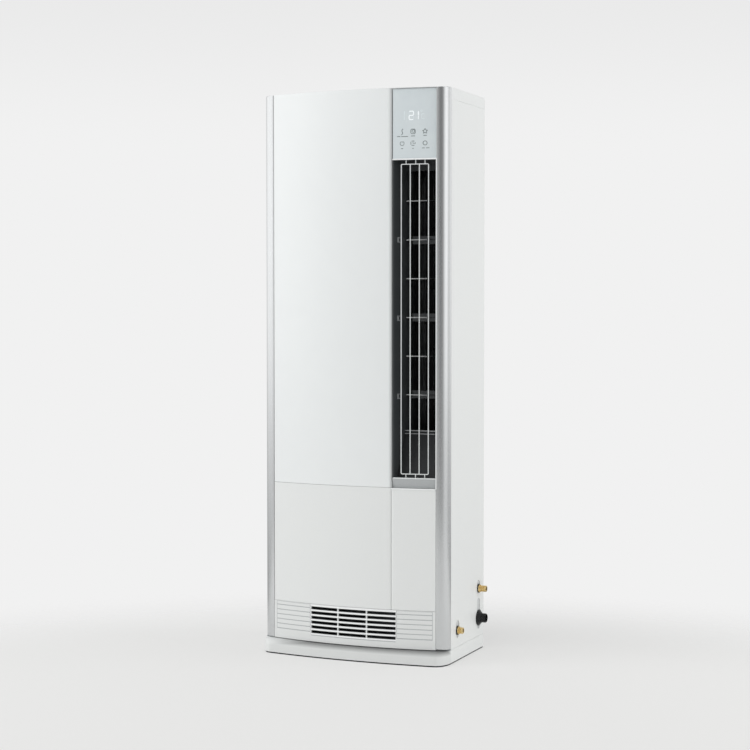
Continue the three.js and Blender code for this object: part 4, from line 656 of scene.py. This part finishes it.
# %% Touch panel and sill
COLUMN_X0 = 142.3
RIM_X0, RIM_X1 = 279.5, 282.4
TOUCH_INSET, TOUCH_Z0, TOUCH_Z1 = 5, 1579.9, 1796
SILL_X0, SILL_X1, SILL_Z0, SILL_Z1, SILL_INSET = COLUMN_X0 - 0.8, RIM_X0 - 2, 552.9, 583.3, 12
bm = bow_slab(COLUMN_X0, RIM_X0 - 0.2, TOUCH_Z0, TOUCH_Z1, TOUCH_INSET, 10)
soften(bm, 1.0, 3)
make_piece("control_panel", bm, touch_glass, ["control_panel"])

bm = bow_slab(SILL_X0, SILL_X1, SILL_Z0, SILL_Z1, SILL_INSET, 7)
leaning = [v for v in bm.verts if v.co.z > SILL_Z1 - 0.3 and abs(inset_of(v) - SILL_INSET) < 0.05]
bmesh.ops.translate(bm, verts=leaning, vec=(0, -9.1, 0))
soften(bm, 0.6, 3)
bead = bow_slab(SILL_X0, SILL_X1, 553, 556.5, 9.6, 2.4)
soften(bead, 1.1, 4)
add_part(bm, bead)
make_piece("outlet_sill", bm, grey_moulding, ["outlet_sill"])
strips("sill_lip", guard_white, [(SILL_X0 + 2, SILL_X1, 582.4, 585.8, 2.2, 2.4)], 1.1, 4)

# %% [markdown]
# ## Outlet rim
# A thin white rim edges the outlet on the right, under the touch panel and under the sill, just
# proud of the bow; its whiter paint is a painted highlight. A white strip also runs over the touch
# panel, above its grey gasket, and a grey strip closes the column beside it.

# %% Outlet rim
STRIP_X1 = PANEL_X + 0.1
# The rim's strip under the sill is a painted highlight, for the line of light along the lower panel's top
# edge.
strips("outlet_rim", edge_white,
       [(RIM_X0, RIM_X1, 551, 1580.3, -0.3, 5), (COLUMN_X0, RIM_X0, 1575.8, 1580.2, 0.2, 4),
        (COLUMN_X0, STRIP_X1, 1798.3, HEIGHT - 0.2, 0.4, 5),
        (COLUMN_X, RIM_X0, LOWER_RIGHT_TOP_Z + 0.3, SILL_Z0 - 0.2, -1.4, 10)])
strips("touch_panel_gasket", grey_moulding,
       [(COLUMN_X0, RIM_X0, TOUCH_Z1 + 0.2, TOUCH_Z1 + 2.2, 3, 4)])
strips("column_edge_strip", plate_grey, [(RIM_X0, STRIP_X1, 1580.5, 1798.1, 3.4, 4)])

# %% [markdown]
# ## Display
# The digits, six touch marks and the dashes under them are flat shapes on the glass. A dash is a
# square face with all its corners bevelled until its ends are round. A ring or an arc is one short
# edge spun through an angle.

# %% Display helpers
def dash(bm, x, z, length, width, turned_by=0):
    """A flat dash with round ends, centred at x and z, turned anticlockwise in degrees."""
    made = bmesh.ops.create_grid(bm, x_segments=1, y_segments=1, size=0.5)["verts"]
    spin = Matrix.Translation((x, 0, z)) @ Matrix.Rotation(math.radians(-turned_by), 4, "Y")
    bmesh.ops.scale(bm, vec=(length, width, 1), verts=made)
    bmesh.ops.rotate(bm, cent=(0, 0, 0), matrix=Matrix.Rotation(math.pi / 2, 3, "X"), verts=made)
    bmesh.ops.transform(bm, matrix=spin, verts=made)
    bmesh.ops.bevel(bm, geom=made, offset=width * 0.499, segments=5, profile=0.5, affect="VERTICES",
                    clamp_overlap=True)


def arc(bm, x, z, radius, width, start=0, sweep=360):
    """A flat ring or arc centred at x and z. Angles run clockwise from the right, in degrees."""
    ends = [bm.verts.new((x + r, 0, z)) for r in (radius - width / 2, radius + width / 2)]
    line = ends + [bm.edges.new(ends)]
    bmesh.ops.rotate(bm, cent=(x, 0, z), matrix=Matrix.Rotation(math.radians(start), 3, "Y"), verts=ends)
    bmesh.ops.spin(bm, geom=line, cent=(x, 0, z), axis=(0, 1, 0), angle=math.radians(sweep), steps=24,
                   use_merge=sweep == 360)
    bmesh.ops.remove_doubles(bm, verts=bm.verts, dist=0.001)


def on_glass(name, bm, material):
    """Thickens flat marks and lays them on the touch panel."""
    raise_faces(bm, bm.faces[:], 0, 0.6, 0)
    for v in bm.verts:
        v.co.y += front_y(v.co.x, TOUCH_INSET - 0.2)
    make_piece(name, bm, material)


# %% Digits
SEGMENTS = {"top": (0, 1, 0), "middle": (0, 0, 0), "foot": (0, -1, 0), "upper_right": (1, 0.5, 90),
            "lower_right": (1, -0.5, 90), "upper_left": (-1, 0.5, 90), "lower_left": (-1, -0.5, 90)}


def digit(bm, x, z, names, half_wide=6.9, half_tall=12.8, stroke=3.6):
    """The named segments of a digit centred at x and z."""
    for name in names:
        across, up, turned_by = SEGMENTS[name]
        length = (half_tall if turned_by else 2 * half_wide) - 0.4
        dash(bm, x + across * half_wide, z + up * half_tall, length, stroke, turned_by)


TENS_X, UNITS_X, DIGIT_Z = 201.2, 216.6, 1713
bm = bmesh.new()
digit(bm, TENS_X, DIGIT_Z, ["top", "upper_right", "middle", "lower_left", "foot"], stroke=3.4)
digit(bm, UNITS_X, DIGIT_Z, ["upper_right"])
digit(bm, UNITS_X, DIGIT_Z, ["lower_right"], stroke=2.9)
on_glass("lit_digits", bm, lamp_white)
bm = bmesh.new()
digit(bm, 171.8, DIGIT_Z + 0.3, ["upper_right", "lower_right"], 7.6, 13.6, 3)
digit(bm, TENS_X, DIGIT_Z, ["upper_left", "lower_right"], stroke=2.4)
digit(bm, 238, DIGIT_Z - 3.5, ["top", "upper_left", "lower_left", "foot"], 4.6, 7.4, 2.2)
arc(bm, 233, DIGIT_Z + 13.4, 2.6, 1.5)
on_glass("unlit_digits", bm, ghost_grey)

# %% Touch marks
ROW_HIGH, ROW_LOW = 1663.5, 1627
MARK_LEFT, MARK_MIDDLE, MARK_RIGHT = 172.2, 206.6, 244.2


def round_about(x, z, radius, degrees):
    """The x and z of a point at that radius and angle from x and z."""
    angle = math.radians(degrees)
    return x + radius * math.cos(angle), z + radius * math.sin(angle)


bm = bmesh.new()
arc(bm, 178.6, ROW_HIGH + 2.5, 7, 2.2, 130, 110)
arc(bm, 168.6, ROW_HIGH - 4.5, 5, 2.2, -20, 100)
for angle in range(0, 360, 90):
    dash(bm, *round_about(MARK_MIDDLE, ROW_HIGH, 7, angle), 11.5, 2.1, angle + 90)
    arc(bm, *round_about(MARK_MIDDLE, ROW_HIGH, 5.25, angle + 45), 2.4, 1.5, -angle - 90, 90)
    dash(bm, *round_about(MARK_MIDDLE, ROW_LOW, 6.6, angle), 9.5 if angle else 6, 2.1, angle + 90)
arc(bm, MARK_MIDDLE + 1, ROW_HIGH + 1, 4, 1.8)
for angle in range(90, 450, 72):
    dash(bm, *round_about(MARK_RIGHT, ROW_HIGH, 6.6, angle), 4.6, 3, angle)
arc(bm, MARK_RIGHT, ROW_HIGH, 5, 2)
arc(bm, MARK_LEFT, ROW_LOW, 6.4, 1.8, -60, 300)
dash(bm, MARK_LEFT, ROW_LOW + 4.5, 5, 1.8, 90)
dash(bm, MARK_MIDDLE, ROW_LOW + 2, 5, 1.5, 90)
dash(bm, MARK_MIDDLE + 2.2, ROW_LOW - 0.5, 5, 1.5)
arc(bm, MARK_RIGHT, ROW_LOW, 6.3, 2.2)
for x, z, length in ((161.4, 1648.6, 11), (180, 1648.3, 22), (MARK_MIDDLE, 1649.4, 13),
                     (MARK_RIGHT, 1650.4, 10.5), (MARK_LEFT, 1611.2, 7), (MARK_MIDDLE, 1611.2, 5),
                     (239, 1611.8, 9), (252.4, 1611.8, 11)):
    dash(bm, x, z, length, 2.3)
on_glass("touch_marks", bm, print_grey)

# %% [markdown]
# ## Guard
# The guard is one moulding: a tall rounded frame with two slats inside it and three pegs at each
# end. The frame is a flat face with its middle taken out, thickened and rounded. The whole guard is
# then laid on the bow.

# %% Guard
SLAT_X, SLAT_HALF, SLAT_DEPTH = (168.7, 197.3, 225.9, 254.5), 1.35, 2.8
GUARD_X0, GUARD_X1, GUARD_Z0, GUARD_Z1 = SLAT_X[0] - SLAT_HALF, SLAT_X[3] + SLAT_HALF, 596, 1564
bm = bmesh.new()
corners = [bm.verts.new((x, 0, z)) for x, z in ((GUARD_X0, GUARD_Z0), (GUARD_X1, GUARD_Z0),
                                                (GUARD_X1, GUARD_Z1), (GUARD_X0, GUARD_Z1))]
bm.faces.new(corners)
bmesh.ops.bevel(bm, geom=corners, offset=5, segments=6, profile=0.5, affect="VERTICES")
middle = max(bm.faces, key=lambda f: f.calc_area())
bmesh.ops.inset_individual(bm, faces=[middle], thickness=2 * SLAT_HALF, use_even_offset=True)
bmesh.ops.delete(bm, geom=[middle], context="FACES_ONLY")
raise_faces(bm, bm.faces[:], 0, SLAT_DEPTH, 0)
bmesh.ops.recalc_face_normals(bm, faces=bm.faces)
soften(bm, 0.7, 3, 60)
for x in SLAT_X[1:3]:
    add_part(bm, block(x - SLAT_HALF, x + SLAT_HALF, 0, SLAT_DEPTH, GUARD_Z0 + 1, GUARD_Z1 - 1, 0.7))
for x in (184, 214.5, 243.5):
    for z0, z1 in ((585.6, GUARD_Z0 + 1.5), (GUARD_Z1 - 1.5, 1576.9)):
        add_part(bm, block(x - 1.2, x + 1.2, 0.4, 2.6, z0, z1, 0.6))
for v in bm.verts:
    v.co.y += front_y(v.co.x, 6)
make_piece("outlet_guard", bm, guard_white, ["outlet_guard"])

# %% [markdown]
# ## Inside the outlet
# Each dark guide blade has a light nose, which rides on the blade's own body and so tips with it.
# Small grey clips hold every second blade's brace to the duct's left wall, and two lips edge the
# ramp.

# %% Blade noses
BLADE_Z = [1455 - 122.9 * i for i in range(6)]
for number, z in enumerate(BLADE_Z, 1):
    make_piece(f"blade_nose_{number}", block(146, 216.5, -57.2, -53.6, z - 1.7, z + 1.7, 1.5), blade_grey,
               body=f"blade_{number}")

# %% Clips and lips
bm = bmesh.new()
for z in BLADE_Z[1::2]:
    for y1, z0, z1 in ((-121, -10, 6), (-108, -10.4, -7.6), (-108, 3.6, 6.4)):
        add_part(bm, block(144.3, 147.2, -127, y1, z + z0, z + z1, 0.8))
make_piece("brace_clips", bm, grey_moulding)
bm = block(144.8, 247.5, -63, -56, 725.6, 728.4, 0.9)
add_part(bm, block(144.8, 247.5, -66, -59, 716.4, 718.8, 0.9))
make_piece("ramp_lips", bm, grey_moulding)

# %% [markdown]
# ## Corner mouldings
# In plan each is a quarter ellipse, 39 mm wide and 31 mm deep. A vertex spun through a quarter turn
# and scaled gives the outline, which is closed behind, filled and raised.

# %% Corner mouldings
SIDE_X, REAR_Y = 320, 192
TRIM_WIDE, TRIM_DEEP, TRIM_BACK = 38.6, 31, -111.0
TRIM_FOOT, TRIM_TOP = 45.8, HEIGHT - 0.3


def corner_moulding(name, side):
    """The moulding at the front corner on one side, -1 for the left and 1 for the right."""
    bm = bmesh.new()
    first = bm.verts.new((0, -1, TRIM_FOOT))
    last = bmesh.ops.spin(bm, geom=[first], cent=(0, 0, TRIM_FOOT), axis=(0, 0, 1), angle=math.pi / 2,
                          steps=24)["geom_last"][0]
    bmesh.ops.scale(bm, vec=(TRIM_WIDE, TRIM_DEEP, 1), verts=bm.verts)
    inner = bm.verts.new((0, 0, TRIM_FOOT))
    bm.edges.new((last, inner))
    bm.edges.new((inner, first))
    plan = bmesh.ops.contextual_create(bm, geom=bm.edges[:])["faces"]
    raise_faces(bm, plan, 0, 0, TRIM_TOP - TRIM_FOOT)
    bmesh.ops.translate(bm, verts=bm.verts, vec=(SIDE_X - TRIM_WIDE, TRIM_BACK, 0))
    for height, radius in ((TRIM_TOP, 3), (TRIM_FOOT, 6)):
        end = [e for e in sharp_edges(bm, 60) if all(abs(v.co.z - height) < 0.1 and (
            v.co.y < TRIM_BACK - 0.1 or v.co.x > SIDE_X - 0.1) for v in e.verts)]
        round_edges(bm, end, radius, 4)
    bmesh.ops.scale(bm, vec=(side, 1, 1), verts=bm.verts)
    make_piece(name, bm, silver, [name])


corner_moulding("left_trim", -1)
corner_moulding("right_trim", 1)

# %% [markdown]
# ## Steel sheets
# The side sheets turn a flange round the rear corner, so each starts as an L in plan. The slots for
# the pipes are punched with a Boolean modifier, the way a press cuts them.

# %% Side sheets
def punch(target, cutter):
    """Cuts a bmesh out of a piece with a Boolean modifier, and applies it."""
    mesh = bpy.data.meshes.new("punch")
    bmesh.ops.recalc_face_normals(cutter, faces=cutter.faces)
    bmesh.ops.scale(cutter, vec=(MM, MM, MM), verts=cutter.verts)
    cutter.to_mesh(mesh)
    cutter.free()
    tool = add_object("punch", mesh)
    step = target.modifiers.new("punch", "BOOLEAN")
    step.operation, step.solver, step.object = "DIFFERENCE", "EXACT", tool
    target.modifiers.move(1, 0)
    bpy.context.view_layer.objects.active = target
    bpy.ops.object.modifier_apply(modifier="punch")
    bpy.data.objects.remove(tool)


SHEET_X, SHEET_FRONT = SIDE_X - 1.5, TRIM_BACK + 0.3
SHEET_FOOT, SHEET_TOP = 45.5, 1762.7


def side_sheet(name, side):
    """The sheet of one side, -1 for the left and 1 for the right."""
    bm = bmesh.new()
    plan = [(SHEET_X, SHEET_FRONT), (SIDE_X, SHEET_FRONT), (SIDE_X, REAR_Y), (SIDE_X - 14, REAR_Y),
            (SIDE_X - 14, REAR_Y - 1.5), (SHEET_X, REAR_Y - 1.5)]
    bm.faces.new([bm.verts.new((side * x, y, SHEET_FOOT)) for x, y in plan])
    raise_faces(bm, bm.faces[:], 0, 0, SHEET_TOP - SHEET_FOOT)
    bmesh.ops.recalc_face_normals(bm, faces=bm.faces)
    corner = [e for e in bm.edges if all(abs(v.co.x) > SIDE_X - 1 and v.co.y > REAR_Y - 1 for v in e.verts)]
    round_edges(bm, corner, 1.4, 4)
    return make_piece(name, bm, powder_white, [name])


side_sheet("left_side_panel", -1)
right_sheet = side_sheet("right_side_panel", 1)
SLOT_HALF, CUT_X, CUT_DEEP = 13, 310, 20
cutter = bmesh.new()
for y, z0, z1 in ((142, 188, 229), (142, 70, 171), (-52, 74, 130)):
    starts, ends = [], []
    for side, z in ((SLOT_HALF, z1 - SLOT_HALF), (-SLOT_HALF, z0 + SLOT_HALF)):
        starts.append(cutter.verts.new((CUT_X, y + side, z)))
        ends += bmesh.ops.spin(cutter, geom=starts[-1:], cent=(CUT_X, y, z), axis=(1, 0, 0), angle=math.pi,
                               steps=16)["geom_last"]
    cutter.edges.new((ends[0], starts[1]))
    cutter.edges.new((ends[1], starts[0]))
bmesh.ops.contextual_create(cutter, geom=cutter.edges[:])
raise_faces(cutter, cutter.faces[:], CUT_DEEP, 0, 0)
punch(right_sheet, cutter)
print("right sheet after punching:", len(right_sheet.data.polygons), "faces")

# %% [markdown]
# ## Rear screws
# Twelve domed screws hold the back between the two flanges. Each head is turned about the X axis
# and then swung round to face the rear.

# %% Rear screws
SCREW_X, FLANGE_Y = 294, 190.4
about_y = Matrix.Rotation(math.pi / 2, 4, "Z")
bm = bmesh.new()
for z in (90, 420, 760, 1100, 1440, 1735):
    for x in (-SCREW_X, SCREW_X):
        head = turned([(2.4, 0), (2.1, 2.6), (1.1, 3.9), (0, 4.2), (0, 0)], 0, 0, 20)
        bmesh.ops.transform(head, matrix=Matrix.Translation((x, FLANGE_Y, z)) @ about_y, verts=head.verts)
        add_part(bm, head)
make_piece("rear_screws", bm, black_steel)

# %% [markdown]
# ## Top cover
# A shallow lid with a skirt. Its front edge follows the bow behind the panels, and its joint with
# the side sheets shows as a fine line.

# %% Top cover
COVER_Z, COVER_X, COVER_INSET, COVER_THICK = 1763.1, 281.2, 14.4, 1.6
bm = bmesh.new()
first = bm.verts.new((-COVER_X, front_y(COVER_X, COVER_INSET), COVER_Z))
line = spin_along(bm, [first], -COVER_X, COVER_X, COVER_INSET)
for x, y in ((SIDE_X, TRIM_BACK + 0.1), (SIDE_X, REAR_Y), (-SIDE_X, REAR_Y), (-SIDE_X, TRIM_BACK + 0.1)):
    line.append(bm.verts.new((x, y, COVER_Z)))
for pair in zip(line, line[1:] + [first]):
    bm.edges.new(pair)
plan = bmesh.ops.contextual_create(bm, geom=bm.edges[:])["faces"]
raise_faces(bm, plan, 0, 0, HEIGHT - COVER_Z)
bmesh.ops.recalc_face_normals(bm, faces=bm.faces)
recess(bm, [f for f in bm.faces if f.normal.z < -0.9], COVER_THICK, 35)
bmesh.ops.recalc_face_normals(bm, faces=bm.faces)
round_edges(bm, [e for e in sharp_edges(bm) if all(v.co.z > HEIGHT - 0.1 for v in e.verts)], 2.5, 4)
round_edges(bm, [e for e in sharp_edges(bm) if all(v.co.y > REAR_Y - 0.1 for v in e.verts)
                 and abs(e.verts[0].co.z - e.verts[1].co.z) > 5], 1.4, 3)
make_piece("top_cover", bm, powder_white, ["top_cover"])

# %% [markdown]
# ## Plinth
# The plinth's front has a flatter bow of its own, with a centre 2 m behind it, and its top edge
# rolls back under the panels. Its outline is spun, raised ring by ring, and each ring is drawn back
# by its own share. It stands on a thin step, inside a black strip that is painted shadow: a dark
# piece where the floor only lies in shade.

# %% Plinth outline
SEAM_X, FOOT_FRONT, FOOT_BOW, FOOT_REAR = 281, -192, 19, 190
CORNER_WIDE, CORNER_DEEP = SIDE_X - SEAM_X, 62
FOOT_RADIUS = (SEAM_X ** 2 + FOOT_BOW ** 2) / (2 * FOOT_BOW)


def foot_y(x, share):
    """y of the plinth's front at x. A share of 1 is its foot, and 0 is tucked under the panels."""
    if abs(x) <= SEAM_X + 0.01:
        foot = FOOT_FRONT + FOOT_RADIUS - math.sqrt(FOOT_RADIUS ** 2 - x ** 2)
        return share * foot + (1 - share) * front_y(x)
    along = min(1, (abs(x) - SEAM_X) / CORNER_WIDE)
    return TRIM_BACK - (1 + share) * CORNER_DEEP / 2 * math.sqrt(1 - along ** 2)


def foot_plan(z):
    """The plinth's outline as one flat face at that height, in a new bmesh."""
    bm = bmesh.new()
    start = bm.verts.new((-SEAM_X, foot_y(SEAM_X, 1), z))
    last = bmesh.ops.spin(bm, geom=[start], cent=(0, FOOT_FRONT + FOOT_RADIUS, z), axis=(0, 0, 1),
                          angle=2 * math.asin(SEAM_X / FOOT_RADIUS), steps=48)
    rear = []
    for side, vertex in ((-1, start), (1, last["geom_last"][0])):
        before = set(bm.verts)
        spun = bmesh.ops.spin(bm, geom=[vertex], cent=(side * SEAM_X, TRIM_BACK, z), axis=(0, 0, 1),
                              angle=side * math.pi / 2, steps=12)["geom_last"][0]
        corner = [v for v in bm.verts if v not in before]
        bmesh.ops.scale(bm, vec=(CORNER_WIDE / CORNER_DEEP, 1, 1), verts=corner,
                        space=Matrix.Translation((-side * SEAM_X, 0, 0)))
        rear.append(bm.verts.new((side * SIDE_X, FOOT_REAR, z)))
        bm.edges.new((spun, rear[-1]))
    bm.edges.new(rear)
    return bm, bmesh.ops.contextual_create(bm, geom=bm.edges[:])["faces"]


print("plinth bow radius", round(FOOT_RADIUS), "mm")

# %% Black strip for the shadow under the plinth
# The black strip is painted shadow, a dark piece under the plinth's edge where there is only shade.
bm, plan = foot_plan(0)
bmesh.ops.inset_region(bm, faces=plan, thickness=1.5, use_boundary=True, use_even_offset=True)
bmesh.ops.delete(bm, geom=[f for f in bm.faces if f not in plan], context="FACES")
bmesh.ops.inset_region(bm, faces=plan, thickness=3.4, use_boundary=True, use_even_offset=True)
bmesh.ops.delete(bm, geom=plan, context="FACES_ONLY")
raise_faces(bm, bm.faces[:], 0, 0, 4.1)
make_piece("shadow_foot_strip", bm, rubber_and_shadow_black)

# %% Plinth
STEP_HIGH, ROLL_Z0, ROLL_HIGH, ROLL_STEPS, TRAY_DEEP = 4.2, 29, 16, 6, 40
bm, plan = foot_plan(STEP_HIGH)
recess(bm, plan, 5, -STEP_HIGH)
rim = [e for e in bm.edges if len(e.link_faces) == 1]
# The upright face ends in two rings 0.01 mm apart, and the roll starts from the upper one.
rings = [(0, ROLL_Z0), (0, ROLL_Z0 + 0.01)]
for level in range(1, ROLL_STEPS + 1):
    angle = math.pi / 2 * level / ROLL_STEPS
    rings.append((angle, ROLL_Z0 + ROLL_HIGH * math.sin(angle)))
for angle, z in rings:
    grown = bmesh.ops.extrude_edge_only(bm, edges=rim)
    for v in verts_of(grown):
        v.co.z = z
        if v.co.y < TRIM_BACK - 0.01:
            v.co.y = foot_y(v.co.x, math.cos(angle))
    rim = [g for g in grown["geom"] if isinstance(g, bmesh.types.BMEdge)
           and all(abs(v.co.z - z) < 0.001 for v in g.verts)]
lid = bmesh.ops.contextual_create(bm, geom=rim)["faces"]
bmesh.ops.recalc_face_normals(bm, faces=bm.faces)
recess(bm, lid, 6, -TRAY_DEEP)
make_piece("plinth", bm, plinth_white, ["plinth"], corner=50)

# %% [markdown]
# ## Fittings
# Two brass unions with black lock nuts and a black drain spigot come out of the side slots. They are
# turned parts, so each is a profile spun about its own axis.

# %% Unions
BORE, THREAD, PITCH = 5.5, 10.2, 2.4


def union(name, reach, y, z):
    """A union with a neck, a collar and a thread, which is drawn coarser than the real one."""
    end = SIDE_X + reach
    profile = [(316.6, BORE), (316.6, 9.5), (322.7, 9.5), (322.7, 12), (323.2, 12.5), (326.2, 12.5),
               (326.8, 12), (326.8, THREAD)]
    x = 328
    while x < end - 4.5:
        profile += [(x, THREAD), (x + 0.5, THREAD - 0.9), (x + 1.1, THREAD - 0.9), (x + 1.6, THREAD)]
        x += PITCH
    profile += [(end - 1.2, THREAD), (end - 0.2, 9.4), (end, 8.8), (end, 6.1), (end - 0.5, BORE)]
    bm = turned(profile + [profile[0]], y, z)
    make_piece(name, bm, brass, [name], corner=30)
    nut = turned([(320.3, 9.6), (320.3, 14.6), (320.7, 15), (322.2, 15), (322.6, 14.6), (322.6, 9.6),
                  (320.3, 9.6)], y, z)
    make_piece(name + "_nut", nut, rubber_and_shadow_black, [name + "_nut"], corner=30)


union("upper_union", 27.8, 142, 202)
union("lower_union", 19.5, -52, 98)

# %% Drain spigot
profile = [(310, 9), (310, 12), (320.3, 12), (320.3, 25.4), (320.9, 26), (323.2, 26), (324.3, 23.6),
           (330, 17.6), (331.6, 15.9), (333, 15.2), (335, 15), (344.6, 15), (346.8, 14.2), (347.7, 12.9),
           (348, 12), (347.6, 11.2), (346.6, 10.8), (330, 10.4), (310, 9)]
make_piece("drain_spigot", turned(profile, 142, 106, 56), rubber_and_shadow_black, ["drain_spigot"])
